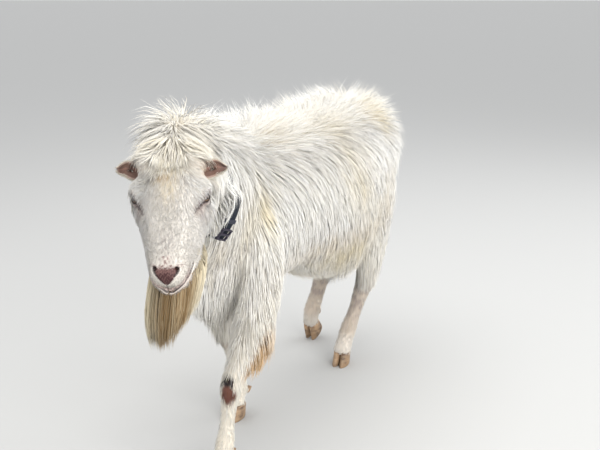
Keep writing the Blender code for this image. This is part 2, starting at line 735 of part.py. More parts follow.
def dewclaw_mesh(foot, side):
    """Return one dewclaw: a small cone that points down and back, behind the pastern."""
    mesh = bpy.data.meshes.new("dewclaw")
    shape = bmesh.new()
    bmesh.ops.create_cone(shape, cap_ends=True, segments=8, radius1=DEWCLAW_RADIUS,
                          radius2=DEWCLAW_RADIUS * 0.35, depth=DEWCLAW_LENGTH)
    place = (foot_matrix(foot) @ Matrix.Translation((side * 0.0115, *foot.dewclaw))
             @ Matrix.Rotation(math.radians(150), 4, "X"))
    bmesh.ops.transform(shape, matrix=place, verts=shape.verts)
    shape.to_mesh(mesh)
    shape.free()
    return mesh


def feet(pieces, group):
    """Add the claws and dewclaws to the pieces, and end each leg at its coronet."""
    found = {}
    for foot in FEET:
        leg = foot.name + "_lower"
        pieces[leg] = largest_body(boolean(pieces[leg], coronet_box(foot), "DIFFERENCE", group))
        for label, side in (("outer", 1), ("inner", -1)):
            way = side if foot.name.endswith("left") else -side
            claw = claw_mesh(foot, way)
            if foot.heel_lift:
                claw = boolean(claw, floor_box(), "DIFFERENCE", group)
            found[f"{foot.name}_claw_{label}"] = largest_body(claw)
            dewclaw = boolean(dewclaw_mesh(foot, way), inflated(pieces[leg], GAP),
                              "DIFFERENCE", group)
            found[f"{foot.name}_dewclaw_{label}"] = largest_body(dewclaw)
    return found


def collar_frame():
    """Return the collar's sideways and upward directions, and its axis towards the head."""
    axis = COLLAR_AXIS.normalized()
    side = Vector((0, 0, 1)).cross(axis).normalized()
    return side, axis.cross(side).normalized(), axis


def strap_path(body):
    """Return the strap's path as places, outward directions and ways along it.

    It follows the body's surface, but no farther out than the collar's own oval, so that it
    passes under the mane.
    """
    side, up, axis = collar_frame()
    tree = BVHTree.FromPolygons([v.co for v in body.vertices], [f.vertices for f in body.polygons])
    reaches, rays = [], []
    for i in range(COLLAR_SIDES):
        angle = 2 * math.pi * i / COLLAR_SIDES
        ray = (side * math.cos(angle) + up * math.sin(angle)).normalized()
        tall = COLLAR_TOP if math.sin(angle) > 0 else COLLAR_BOTTOM
        oval = 1 / math.hypot(math.cos(angle) / COLLAR_HALF_WIDTH, math.sin(angle) / tall)
        hit = tree.ray_cast(COLLAR_AT, ray)[3]
        reaches.append(min(oval, hit or oval))
        rays.append(ray)
    reaches = np.array(reaches)
    for _ in range(COLLAR_SMOOTHINGS):
        reaches = (np.roll(reaches, 1) + 2 * reaches + np.roll(reaches, -1)) / 4
    places = [COLLAR_AT + ray * reach for ray, reach in zip(rays, reaches)]
    path = []
    for i, place in enumerate(places):
        along = (places[(i + 1) % COLLAR_SIDES] - places[i - 1]).normalized()
        out = (rays[i] - along * rays[i].dot(along)).normalized()
        lean = out * math.cos(COLLAR_FLARE) + axis * math.sin(COLLAR_FLARE)
        path.append((place + lean * STRAP_PROUD, lean.normalized(), along))
    return path


def strap_mesh(path, grown):
    """Return the collar's strap: a flat band along the path, its faces moved out by grown."""
    points = []
    for place, out, along in path:
        half = along.cross(out).normalized() * (STRAP_WIDTH / 2 + grown)
        inner = place - out * (STRAP_THICKNESS + grown)
        outer = place + out * grown
        points += [inner - half, inner + half, outer + half, outer - half]
    faces = []
    for i in range(COLLAR_SIDES):
        a, b = 4 * i, 4 * ((i + 1) % COLLAR_SIDES)
        for j in range(4):
            k = (j + 1) % 4
            faces.append((a + j, a + k, b + k, b + j))
    return mesh_of("strap", points, faces)


def fitting_box(path, index, sizes, height, offset=0.0):
    """Return a box on the strap: sizes along it, across it and outward, its middle at height."""
    place, out, along = path[index]
    across = out.cross(along).normalized()
    mesh = bpy.data.meshes.new("fitting")
    shape = bmesh.new()
    bmesh.ops.create_cube(shape, size=1.0)
    turn = Matrix((along, across, out)).transposed().to_4x4()
    centre = place + out * height + along * offset
    bmesh.ops.transform(shape, matrix=Matrix.Translation(centre) @ turn @ Matrix.Diagonal((*sizes, 1.0)),
                        verts=shape.verts)
    shape.to_mesh(mesh)
    shape.free()
    return mesh


def collar(pieces, body, group):
    """Return the collar's pieces, and make room for them in the neck."""
    path = strap_path(body)
    sizes = BUCKLE_SIZE
    height = GAP + sizes[2] / 2
    buckle = fitting_box(path, BUCKLE_AT, sizes, height)
    for way in (-1, 1):
        window = fitting_box(path, BUCKLE_AT, (*BUCKLE_WINDOW, 2 * sizes[2]), height,
                             way * BUCKLE_WINDOW_AT)
        buckle = boolean(buckle, window, "DIFFERENCE", group)
    keeper_height = -STRAP_THICKNESS / 2
    keeper = boolean(fitting_box(path, KEEPER_AT, KEEPER_SIZE, keeper_height),
                     strap_mesh(path, GAP), "DIFFERENCE", group)
    room = [strap_mesh(path, GAP)]
    for index, size, at in ((KEEPER_AT, KEEPER_SIZE, keeper_height), (BUCKLE_AT, sizes, height)):
        room.append(fitting_box(path, index, [value + 2 * GAP for value in size], at))
    for tool in room:
        pieces["neck"] = boolean(pieces["neck"], tool, "DIFFERENCE", group)
    pieces["neck"] = largest_body(pieces["neck"])
    return {"collar_strap": (strap_mesh(path, 0.0), WEBBING),
            "collar_keeper": (largest_body(keeper), WEBBING),
            "collar_buckle": (largest_body(buckle), PLASTIC)}


def set_at_origin(goat):
    """Move the whole animal so that the origin is at the middle of its outline, on the floor."""
    corners = np.array([tuple(v.co) for piece in goat.objects for v in piece.data.vertices])
    low, high = corners.min(axis=0), corners.max(axis=0)
    shift = Vector((-(low[0] + high[0]) / 2, -(low[1] + high[1]) / 2, 0.0))
    for piece in goat.objects:
        piece.data.transform(Matrix.Translation(shift))


def build():
    """Build the goat."""
    clear_scene()
    goat = collection_of("lamancha_goat")
    workshop = collection_of("workshop")
    body = whole_body(workshop)
    pieces = part_body(body.copy(), workshop)
    extras = feet(pieces, workshop)
    for name, mesh in extras.items():
        object_of(name, mesh, goat, HORN)
    for name, mesh in eye_meshes().items():
        socket = inflated(mesh, EYE_SOCKET_CLEARANCE)
        pieces["head"] = boolean(pieces["head"], socket, "DIFFERENCE", workshop)
        object_of(name, mesh, goat, EYE)
    pieces["head"] = largest_body(pieces["head"])
    for name, mesh in ears(pieces["head"], workshop).items():
        object_of(name, mesh, goat, SKIN)
    beard = beard_mesh()
    for name in ("lower_jaw", "head", "neck"):
        beard = boolean(beard, inflated(pieces[name], GAP), "DIFFERENCE", workshop)
    object_of("beard", largest_body(beard), goat, BEARD)
    for name, (mesh, finish) in collar(pieces, body, workshop).items():
        object_of(name, mesh, goat, finish)
    for name, mesh in pieces.items():
        object_of(name, mesh, goat, COAT)
    set_at_origin(goat)


build()
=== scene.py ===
"""The looks of a life-size LaMancha goat in a slow walk, its head turned left and lowered.

Metres, +Z up. The nose points to -Y and the animal's left side is +X. Forms are worked out in
the animal's own frame, in which the spine lies over X = 0, and are moved by SHIFT when a mesh
is made, so that they lie where the solids are.
"""

from __future__ import annotations

import logging
import math
from dataclasses import dataclass, field
from enum import Enum
from typing import Any, Callable, Sequence

import bmesh
import bpy
import numpy as np
from mathutils import Matrix, Vector
from mathutils.kdtree import KDTree


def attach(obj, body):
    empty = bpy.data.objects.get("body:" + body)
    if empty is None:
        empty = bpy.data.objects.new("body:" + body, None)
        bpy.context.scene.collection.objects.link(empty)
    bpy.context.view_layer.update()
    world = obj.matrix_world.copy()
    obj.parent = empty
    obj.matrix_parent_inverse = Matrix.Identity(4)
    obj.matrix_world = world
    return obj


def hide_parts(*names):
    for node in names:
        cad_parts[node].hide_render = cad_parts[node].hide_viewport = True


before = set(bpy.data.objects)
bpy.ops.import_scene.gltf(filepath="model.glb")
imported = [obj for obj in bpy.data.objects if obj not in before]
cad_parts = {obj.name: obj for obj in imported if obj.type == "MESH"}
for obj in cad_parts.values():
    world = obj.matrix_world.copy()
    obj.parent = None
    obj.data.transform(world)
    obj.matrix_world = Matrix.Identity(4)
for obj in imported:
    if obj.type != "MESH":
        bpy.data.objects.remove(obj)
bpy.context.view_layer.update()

LOG = logging.getLogger("goat")
Array = np.ndarray
Thing = bpy.types.Object
Finish = bpy.types.Material
Mesh = bpy.types.Mesh
Triple = tuple[float, float, float]
Place = Sequence[float]
Rows = tuple[tuple[Any, ...], ...]
MM_IN_METRE = 1000
SHIFT = np.array((-0.023944, 0.078311, 0.0))


class Slot(Enum):
    """The material slots of the part."""

    COAT = "coat"
    BEARD = "beard_hair"
    EAR = "ear_skin"
    HORN = "hoof_horn"
    EYE = "eye"
    WEBBING = "collar_webbing"


# ---------------------------------------------------------------- numbers on arrays


def unit(vectors: Array) -> Array:
    """Return the vectors at length one."""
    return vectors / np.maximum(np.linalg.norm(vectors, axis=-1, keepdims=True), 1e-9)


def ease(values: Array, low: float, high: float) -> Array:
    """Return 0 below low and 1 above high, with a smooth step between; high may be below low."""
    t = np.clip((values - low) / (high - low), 0.0, 1.0)
    return t * t * (3 - 2 * t)


def blob(points: Array, centre: Place, radii: Place) -> Array:
    """Return 1 at the centre, falling off smoothly over the radii."""
    return np.exp(-(((points - np.asarray(centre)) / np.asarray(radii)) ** 2).sum(axis=-1))


def bell(values: Array, middle: float, width: Any) -> Array:
    """Return 1 at the middle, falling off smoothly over the width on both sides."""
    return np.exp(-((values - middle) / width) ** 2)


def folded(points: Array) -> Array:
    """Return the points with the right side laid on the left one."""
    return np.column_stack([np.abs(points[:, 0]), points[:, 1:]])


def across(vectors: Array, normals: Array) -> Array:
    """Return the unit vectors with their part along the normals taken away."""
    return unit(vectors - normals * (vectors * normals).sum(axis=-1, keepdims=True))


def path_distance(points: Array, path: Sequence[Place]) -> tuple[Array, Array]:
    """Return each point's distance from a path of straight pieces, and its place along it.

    Args:
        points: The points, in as many dimensions as the path has.
        path: The path's corners.

    Returns:
        The distances, and the places from 0 to 1.
    """
    corners = np.asarray(path, float)
    best = np.full(len(points), np.inf)
    place = np.zeros(len(points))
    count = len(corners) - 1
    for i in range(count):
        step = corners[i + 1] - corners[i]
        t = np.clip(((points - corners[i]) @ step) / (step @ step), 0.0, 1.0)
        gap = np.linalg.norm(points - corners[i] - t[:, None] * step, axis=1)
        closer = gap < best
        best = np.where(closer, gap, best)
        place = np.where(closer, (i + t) / count, place)
    return best, place


@dataclass(frozen=True)
class Waves:
    """Smooth noise in space, summed from sine waves in seeded directions."""

    seed: int
    size: float
    octaves: int = 2
    channels: int = 1

    def __call__(self, points: Array) -> Array:
        """Return the noise at the points, about -1 to 1, one column for each channel."""
        rng = np.random.default_rng(self.seed)
        total = np.zeros((len(points), self.channels))
        for octave in range(self.octaves):
            for channel in range(self.channels):
                ways = unit(rng.normal(size=(7, 3))) * 2 * math.pi * 2 ** octave / self.size
                ways *= rng.uniform(0.7, 1.4, (7, 1))
                phases = rng.uniform(0, 2 * math.pi, 7)
                total[:, channel] += np.sin(points @ ways.T + phases).sum(axis=1) * 0.35 / 2 ** octave
        return total


def catmull_rom(values: Array, steps: int) -> Array:
    """Return the values with smooth steps between each two of them."""
    values = np.asarray(values, float)
    ends = np.concatenate([2 * values[:1] - values[1:2], values, 2 * values[-1:] - values[-2:-1]])
    found = []
    for i in range(len(values) - 1):
        a, b, c, d = ends[i:i + 4]
        for k in range(steps):
            t = k / steps
            found.append(0.5 * (2 * b + (c - a) * t + (2 * a - 5 * b + 4 * c - d) * t ** 2
                                + (3 * b - a - 3 * c + d) * t ** 3))
    return np.array(found + [values[-1]])


# ---------------------------------------------------------------- meshes


def link(name: str, data: bpy.types.ID) -> Thing:
    """Return an object with the data, in the scene."""
    thing = bpy.data.objects.new(name, data)
    bpy.context.scene.collection.objects.link(thing)
    return thing


def mesh_from(name: str, points: Array, faces: Array) -> Mesh:
    """Return a mesh of the points and of faces that all have the same number of corners."""
    mesh = bpy.data.meshes.new(name)
    mesh.vertices.add(len(points))
    mesh.vertices.foreach_set("co", np.ascontiguousarray(points, np.float32).ravel())
    mesh.loops.add(faces.size)
    mesh.loops.foreach_set("vertex_index", np.ascontiguousarray(faces, np.int32).ravel())
    mesh.polygons.add(len(faces))
    mesh.polygons.foreach_set("loop_start", np.arange(len(faces), dtype=np.int32) * faces.shape[1])
    mesh.update(calc_edges=True)
    return mesh


def vertex_normals(points: Array, tris: Array) -> Array:
    """Return the smooth normals of a mesh of triangles."""
    corners = points[tris]
    faces = np.cross(corners[:, 1] - corners[:, 0], corners[:, 2] - corners[:, 0])
    total = np.zeros_like(points)
    for axis in range(3):
        for corner in range(3):
            total[:, axis] += np.bincount(tris[:, corner], faces[:, axis], len(points))
    return unit(total)


@dataclass
class Piece:
    """One visible piece of the animal, on its way from arrays to an object."""

    name: str
    slot: Slot
    points: Array
    faces: Array
    material: Finish
    tones: Array | None = None
    uvs: Array | None = None
    normals: Array | None = None
    extras: dict[str, Array] = field(default_factory=dict)
    replaced: tuple[str, ...] = ()

    def place(self) -> Thing:
        """Make the object, dress it, tie it to the body and hide the solids that it stands for."""
        mesh = mesh_from(self.name, self.points + SHIFT, self.faces)
        colours = dict(self.extras) if self.tones is None else {"tone": self.tones, **self.extras}
        for name, values in colours.items():
            layer = mesh.color_attributes.new(name, "FLOAT_COLOR", "POINT")
            rgba = np.ones((len(self.points), 4), np.float32)
            rgba[:, :3] = np.maximum(values, 0.0)
            layer.data.foreach_set("color", rgba.ravel())
        if self.uvs is not None:
            layer = mesh.uv_layers.new(name="OFBake")
            corners = np.ascontiguousarray(self.uvs[self.faces.ravel()], np.float32)
            layer.data.foreach_set("uv", corners.ravel())
        mesh.materials.append(self.material)
        mesh.shade_smooth()
        if self.normals is not None:
            mesh.normals_split_custom_set_from_vertices(self.normals.astype(np.float32))
        thing = link(self.name, mesh)
        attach(thing, "root")
        if self.replaced:
            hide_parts(*self.replaced)
        LOG.info("%s: %d faces", self.name, len(self.faces))
        return thing


def grid_faces(rows: int, columns: int, closed: bool = False) -> Array:
    """Return the four-cornered faces of a grid of points, wrapped round its columns if closed."""
    i, j = np.meshgrid(np.arange(rows - 1), np.arange(columns if closed else columns - 1), indexing="ij")
    a = i * columns + j
    b = i * columns + (j + 1) % columns
    return np.stack([a, a + columns, b + columns, b], -1).reshape(-1, 4)


def hoop_faces(rows: int, columns: int) -> Array:
    """Return the four-cornered faces of a grid of points that closes both ways."""
    i, j = np.meshgrid(np.arange(rows), np.arange(columns), indexing="ij")
    here, there, beside = i * columns, (i + 1) % rows * columns, (j + 1) % columns
    return np.stack([here + j, here + beside, there + beside, there + j], -1).reshape(-1, 4)


def fan_faces(sides: int) -> Array:
    """Return triangles that close a ring of points from its first one."""
    return np.array([[0, j, j + 1] for j in range(1, sides - 1)])


def to_tris(quads: Array) -> Array:
    """Return two triangles for each four-cornered face."""
    return np.concatenate([quads[:, (0, 1, 2)], quads[:, (0, 2, 3)]])


def outward(points: Array, faces: Array) -> Array:
    """Return the faces turned so that their normals point out of the closed form."""
    corners = points[faces]
    volume = (np.cross(corners[:, 0], corners[:, 1]) * corners[:, 2]).sum()
    return faces if volume > 0 else faces[:, ::-1]


# ---------------------------------------------------------------- shader maths


class Signal:
    """A socket's value in an expression. Operators on it add Math nodes."""

    def __init__(self, graph: Graph, socket: bpy.types.NodeSocket) -> None:
        """Wrap an output socket of the graph."""
        self.graph = graph
        self.socket = socket

    def math(self, operation: str, *values: Any) -> Signal:
        """Return the result of a Math node on this value and the others."""
        node = self.graph.node("ShaderNodeMath", {"operation": operation},
                               dict(enumerate((self, *values))))
        return Signal(self.graph, node.outputs[0])

    def __add__(self, other: Any) -> Signal:
        """Return the sum."""
        return self.math("ADD", other)

    __radd__ = __add__

    def __mul__(self, other: Any) -> Signal:
        """Return the product."""
        return self.math("MULTIPLY", other)

    __rmul__ = __mul__

    def __sub__(self, other: Any) -> Signal:
        """Return the difference."""
        return self.math("SUBTRACT", other)

    def __rsub__(self, other: Any) -> Signal:
        """Return the difference the other way round."""
        return (self * -1.0) + other

    def sine(self) -> Signal:
        """Return the sine."""
        return self.math("SINE")

    def between(self, low: float, high: float) -> Signal:
        """Return 0 below low and 1 above high, with a smooth step between."""
        node = self.graph.node("ShaderNodeMapRange", {"interpolation_type": "SMOOTHSTEP"},
                               {"Value": self, "From Min": low, "From Max": high})
        return Signal(self.graph, node.outputs[0])


class Graph:
    """The nodes of one material."""

    def __init__(self, name: str) -> None:
        """Make a material that holds only its output and its shader."""
        self.material = bpy.data.materials.new(name)
        self.material.use_nodes = True
        self.tree = self.material.node_tree
        self.shader = next(n for n in self.tree.nodes if n.type == "BSDF_PRINCIPLED")

    def node(self, kind: str, settings: dict[str, Any] | None = None,
             inputs: dict[Any, Any] | None = None) -> bpy.types.Node:
        """Add a node, set it, then fill its sockets.

        Args:
            kind: The node's type.
            settings: Its settings, which are made first.
            inputs: Values or signals by the socket's name or number.

        Returns:
            The node.
        """
        node = self.tree.nodes.new(kind)
        for key, value in (settings or {}).items():
            setattr(node, key, value)
        self.fill(node, inputs or {})
        return node

    def fill(self, node: bpy.types.Node, inputs: dict[Any, Any]) -> None:
        """Give the node's sockets their values or links."""
        for key, value in inputs.items():
            socket = node.inputs[key]
            if isinstance(value, Signal):
                self.tree.links.new(value.socket, socket)
            elif isinstance(value, tuple) and len(value) == 3 and socket.type == "RGBA":
                socket.default_value = (*value, 1.0)
            else:
                socket.default_value = value

    def set(self, **inputs: Any) -> None:
        """Fill the shader's own sockets; an underscore stands for a space."""
        self.fill(self.shader, {key.replace("_", " "): value for key, value in inputs.items()})

    def attribute(self, name: str) -> Signal:
        """Return the colour that is stored on the mesh under the name."""
        return Signal(self, self.node("ShaderNodeAttribute", {"attribute_name": name}).outputs["Color"])

    def place(self) -> Signal:
        """Return the place on the object, in metres."""
        return Signal(self, self.node("ShaderNodeTexCoord").outputs["Object"])

    def stretched(self, scale: Triple) -> Signal:
        """Return the place on the object, scaled along each axis."""
        node = self.node("ShaderNodeMapping", {}, {"Vector": self.place(), "Scale": scale})
        return Signal(self, node.outputs[0])

    def noise(self, scale: float, detail: float = 2.0, vector: Signal | None = None) -> Signal:
        """Return noise of about 0 to 1 with the scale in waves for each metre."""
        node = self.node("ShaderNodeTexNoise", {}, {"Scale": scale, "Detail": detail,
                                                    "Vector": vector or self.place()})
        return Signal(self, node.outputs["Fac"])

    def cells(self, scale: float) -> Signal:
        """Return the distance from the middles of small cells."""
        node = self.node("ShaderNodeTexVoronoi", {}, {"Scale": scale, "Vector": self.place()})
        return Signal(self, node.outputs["Distance"])

    def mix(self, factor: Any, first: Any, second: Any, blend: str = "MIX") -> Signal:
        """Return the two colours mixed by the factor."""
        node = self.node("ShaderNodeMix", {"data_type": "RGBA", "blend_type": blend},
                         {0: factor, 6: first, 7: second})
        return Signal(self, node.outputs[2])

    def bump(self, height: Signal, distance: float) -> Signal:
        """Return the normal of a surface raised by the height times the distance."""
        node = self.node("ShaderNodeBump", {}, {"Height": height, "Distance": distance})
        return Signal(self, node.outputs[0])

    def dyed(self, tone: Signal, dye: Triple, amount: Any) -> Signal:
        """Return the tone, multiplied by the dye where the amount is 1."""
        return self.mix(amount, tone, self.mix(1.0, tone, dye, "MULTIPLY"))

    def parts(self, colour: Signal) -> tuple[Signal, ...]:
        """Return the colour's three channels."""
        node = self.node("ShaderNodeSeparateColor", {}, {0: colour})
        return tuple(Signal(self, node.outputs[i]) for i in range(3))


@dataclass(frozen=True)
class CoatFinish:
    """Fine hair: its colour is on the mesh, with strands along each lock, painted shade between them and a
    soft gloss.
    """

    name: str
    roughness: float = 0.62
    specular: float = 0.15
    hairs: float = 5.0
    relief: float = 0.0004
    # between: the colour's factor between the strands, painted shade between the hairs
    between: Triple = (0.965, 0.950, 0.92)
    inside: float = 0.22

    def material(self) -> Finish:
        """Return the material."""
        graph = Graph(self.name)
        tone = graph.attribute("tone")
        lock, along, over = graph.parts(graph.attribute("lay"))
        spot = graph.node("ShaderNodeCombineXYZ", {}, {0: lock * 91.0 + over * self.hairs, 1: along * 0.9})
        strands = graph.noise(1.0, 2.0, Signal(graph, spot.outputs[0]))
        # painted shade: the tone darkened between the strands
        colour = graph.mix(strands.between(0.35, 0.68), graph.mix(1.0, tone, self.between, "MULTIPLY"), tone)
        graph.set(Base_Color=colour, Roughness=self.roughness, Specular_IOR_Level=self.specular,
                  Subsurface_Weight=self.inside, Subsurface_Scale=0.004, Subsurface_Radius=(1.0, 0.9, 0.75),
                  Normal=graph.bump(strands, self.relief))
        return graph.material


@dataclass(frozen=True)
class SkinFinish:
    """The skin with its shortest hair: streaks along the lie of the hair and a fine grain."""

    name: str
    streak: float = 0.0007

    def material(self) -> Finish:
        """Return the material."""
        graph = Graph(self.name)
        tone = graph.attribute("tone")
        bare = graph.attribute("bare")
        hair = graph.noise(420.0, 3.0, graph.stretched((1.0, 0.35, 0.35)))
        pebble = graph.cells(900.0)
        mottle = graph.noise(160.0, 3.0)
        colour = graph.dyed(tone, (0.82, 0.76, 0.72), mottle * 0.35)
        bareness = graph.parts(bare)[0]
        height = hair * (1.0 - bareness) + pebble * bareness * 0.7
        rough = bareness * -0.28 + 0.72
        graph.set(Base_Color=colour, Roughness=rough, Specular_IOR_Level=0.3,
                  Normal=graph.bump(height, self.streak))
        return graph.material


@dataclass(frozen=True)
class EarFinish:
    """Thin skin with a bloom of short hair and fine creases."""

    name: str

    def material(self) -> Finish:
        """Return the material."""
        graph = Graph(self.name)
        tone = graph.attribute("tone")
        crease = graph.noise(330.0, 4.0)
        colour = graph.dyed(tone, (0.62, 0.52, 0.50), crease * 0.5)
        graph.set(Base_Color=colour, Roughness=0.55, Specular_IOR_Level=0.35,
                  Subsurface_Weight=0.12, Subsurface_Radius=(0.004, 0.0015, 0.001),
                  Normal=graph.bump(crease + graph.cells(1100.0) * 0.4, 0.0006))
        return graph.material


@dataclass(frozen=True)
class EyeFinish:
    """A wet eyeball under a clear cornea."""

    name: str

    def material(self) -> Finish:
        """Return the material."""
        graph = Graph(self.name)
        fleck = graph.noise(1500.0, 3.0)
        tone = graph.attribute("tone")
        colour = graph.dyed(tone, (0.55, 0.45, 0.40), fleck * 0.5)
        graph.set(Base_Color=colour, Roughness=0.16, Coat_Weight=1.0, Coat_Roughness=0.03,
                  Specular_IOR_Level=0.6)
        return graph.material


@dataclass(frozen=True)
class HornFinish:
    """Hoof horn: growth rings, fine tubes down the wall, and darker towards the sole."""

    name: str
    pale: Triple = (0.42, 0.27, 0.155)
    dark: Triple = (0.12, 0.075, 0.05)

    def material(self) -> Finish:
        """Return the material."""
        graph = Graph(self.name)
        rings = graph.noise(60.0, 3.0, graph.stretched((0.35, 0.35, 6.0)))
        tubes = graph.noise(700.0, 2.0, graph.stretched((1.0, 1.0, 0.06)))
        blotch = graph.noise(45.0, 2.0)
        colour = graph.mix(blotch.between(0.35, 0.7), self.pale, self.dark)
        colour = graph.mix(rings.between(0.4, 0.7) * 0.45, colour, (0.55, 0.40, 0.26))
        tone = graph.attribute("tone")
        colour = graph.mix(1.0, colour, tone, "MULTIPLY")
        graph.set(Base_Color=colour, Roughness=0.42 + blotch * 0.2, Specular_IOR_Level=0.4,
                  Normal=graph.bump(rings + tubes * 0.35, 0.0012))
        return graph.material


@dataclass(frozen=True)
class WebbingFinish:
    """Woven nylon webbing: ribs across the strap, threads along it, and flecks of dust."""

    name: str
    colour: Triple = (0.009, 0.012, 0.019)

    def material(self) -> Finish:
        """Return the material. The mesh's lay colour holds the way along and across it."""
        graph = Graph(self.name)
        along, over, _ = graph.parts(graph.attribute("lay"))
        ribs = (along * 2 * math.pi * 300.0).sine() * 0.5 + 0.5
        threads = (over * 2 * math.pi * 14.0).sine() * 0.5 + 0.5
        weave = ribs * 0.6 + threads * 0.4
        dust_and_darker_sole = graph.noise(110.0, 4.0)
        colour = graph.mix(weave * 0.5, self.colour, (0.024, 0.030, 0.044))
        colour = graph.mix(dust_and_darker_sole.between(0.5, 0.8) * 0.25, colour, (0.10, 0.10, 0.10))
        graph.set(Base_Color=colour, Roughness=0.75, Specular_IOR_Level=0.2,
                  Normal=graph.bump(weave, 0.0005))
        return graph.material


@dataclass(frozen=True)
class PlasticFinish:
    """Moulded plastic with fine scratches."""

    name: str
    colour: Triple
    roughness: float = 0.28
    grain: float = 900.0

    def material(self) -> Finish:
        """Return the material."""
        graph = Graph(self.name)
        wear = graph.noise(self.grain, 3.0)
        haze = graph.noise(90.0, 2.0)
        colour = graph.mix(wear.between(0.55, 0.8) * 0.3, self.colour,
                           tuple(min(1.0, c * 3 + 0.03) for c in self.colour))
        graph.set(Base_Color=colour, Roughness=haze * 0.2 + self.roughness,
                  Specular_IOR_Level=0.5, Normal=graph.bump(wear, 0.00012))
        return graph.material


@dataclass(frozen=True)
class FloorFinish:
    """The plain pale floor."""

    name: str

    def material(self) -> Finish:
        """Return the material."""
        graph = Graph(self.name)
        graph.set(Base_Color=(0.50, 0.50, 0.49), Roughness=0.85, Specular_IOR_Level=0.2)
        return graph.material


# ---------------------------------------------------------------- the animal's forms


@dataclass(frozen=True)
class Ring:
    """One cross-section: its middle, half width, reach to either side, and squareness.

    high and low are up and down on trunk, neck and head, and back and front on a leg.
    """

    at: Triple
    wide: float
    high: float
    low: float
    square: float = 2.0

    def thinned(self, wide: float, high: float, low: float) -> Ring:
        """Return the ring with the coat's depth taken off."""
        return Ring(self.at, max(self.wide - wide, 0.003), max(self.high - high, 0.003),
                    max(self.low - low, 0.003), self.square)


def ring_table(*rows: Place) -> tuple[Ring, ...]:
    """Return rings from rows of place, half width, both reaches in mm, and the squareness."""
    return tuple(Ring(tuple(v / MM_IN_METRE for v in row[:3]), *(v / MM_IN_METRE for v in row[3:6]),
                      *row[6:]) for row in rows)


TRUNK = ring_table(
    (0, -392, 490, 30, 35, 60),
    (0, -372, 492, 70, 98, 112),
    (0, -325, 506, 106, 180, 142),
    (0, -250, 540, 134, 214, 178),
    (0, -170, 562, 150, 212, 190),
    (0, -120, 570, 158, 205, 184),
    (0, -50, 570, 168, 200, 176),
    (0, 60, 570, 182, 200, 220, 2.1),
    (0, 170, 575, 187, 196, 256, 2.3),
    (0, 260, 585, 181, 190, 258, 2.3),
    (0, 330, 600, 170, 182, 225, 2.2),
    (0, 400, 615, 154, 164, 165),
    (0, 460, 630, 136, 140, 135),
    (0, 505, 638, 104, 106, 108),
    (0, 528, 640, 50, 52, 55),
)
NECK = ring_table(
    (122, -566, 748, 62, 56, 66),
    (102, -540, 752, 86, 74, 94),
    (76, -498, 746, 94, 92, 110),
    (52, -453, 731, 102, 108, 128),
    (27, -400, 707, 118, 124, 158),
    (12, -340, 670, 124, 138, 182),
    (0, -270, 625, 130, 152, 192),
    (0, -200, 600, 118, 150, 170),
)
TAIL = ring_table(
    (0, 468, 704, 34, 24, 30),
    (0, 512, 704, 38, 26, 28),
    (0, 542, 682, 39, 24, 24),
    (0, 556, 644, 36, 20, 20),
    (0, 560, 606, 27, 15, 15),
    (0, 556, 584, 14, 10, 10),
)
SKULL = ring_table(
    (1, -176, -23, 9, 9, 7),
    (2, -170, -23, 23, 19, 14, 2.3),
    (2, -158, -22, 29.5, 26, 19, 2.3),
    (3, -140, -22, 33, 34, 22, 2.3),
    (3, -115, -24, 38.5, 44, 26, 2.4),
    (3, -85, -28, 45.5, 56, 30, 2.5),
    (1, -50, -30, 54, 69, 40, 2.4),
    (0, -20, -28, 63, 77, 50, 2.3),
    (0, 8, -24, 68, 82, 58, 2.2),
    (0, 40, -18, 66, 83, 62, 2.2),
    (0, 70, -10, 56, 74, 58, 2.1),
    (0, 92, -4, 34, 46, 40),
)
JAW = ring_table(
    (4, -165, -49, 17, 9, 9),
    (5, -152, -51, 33.5, 14, 15, 2.2),
    (6, -132, -51, 41.5, 18, 19, 2.2),
    (6, -100, -53, 48.5, 22, 24, 2.2),
    (3, -60, -56, 54, 26, 34, 2.2),
    (0, -20, -56, 61, 34, 46, 2.2),
    (0, 20, -50, 66, 40, 52, 2.1),
    (0, 55, -36, 56, 40, 50),
    (0, 78, -28, 34, 28, 34),
)
FORE_LEFT = ring_table(
    (70, -235, 690, 34, 40, 45),
    (92, -248, 600, 45, 66, 72),
    (104, -262, 520, 54, 70, 76),
    (110, -278, 450, 51, 62, 68),
    (106, -308, 370, 43, 56, 50),
    (99, -343, 300, 33, 46, 36),
    (92, -369, 250, 27, 27, 30, 2.3),
    (90, -376, 228, 26, 24, 29, 2.3),
    (87, -380, 198, 22, 20, 22),
    (84, -387, 150, 19, 19, 18),
    (81, -395, 98, 24, 26, 21),
    (80, -404, 70, 23, 24, 20),
    (79, -414, 44, 27, 26, 26),
    (79, -418, 32, 24, 24, 24),
)
FORE_RIGHT = ring_table(
    (-70, -225, 690, 34, 40, 45),
    (-90, -228, 600, 45, 66, 72),
    (-98, -222, 520, 50, 70, 72),
    (-94, -208, 450, 45, 58, 56),
    (-86, -190, 370, 36, 46, 42),
    (-78, -174, 300, 30, 37, 33),
    (-74, -163, 250, 26, 26, 29, 2.3),
    (-72, -159, 228, 25, 23, 28, 2.3),
    (-70, -153, 198, 21, 20, 21),
    (-67, -143, 150, 19, 19, 18),
    (-64, -133, 98, 24, 26, 21),
    (-63, -139, 70, 23, 24, 20),
    (-62, -147, 44, 27, 26, 26),
    (-62, -151, 32, 24, 24, 24),
)
HIND_LEFT = ring_table(
    (80, 345, 660, 60, 105, 100),
    (100, 338, 560, 62, 118, 120),
    (104, 320, 470, 55, 124, 110),
    (100, 320, 400, 46, 116, 80),
    (93, 326, 340, 36, 78, 52),
    (85, 330, 290, 28, 48, 36),
    (79, 332, 252, 25, 33, 28, 2.3),
    (70, 326, 218, 22.5, 25, 24),
    (56, 316, 160, 19.5, 21, 20),
    (41, 301, 98, 25, 27, 23),
    (38, 290, 70, 24, 25, 21),
    (36, 278, 44, 27, 26, 26),
    (35, 273, 32, 24, 24, 24),
)
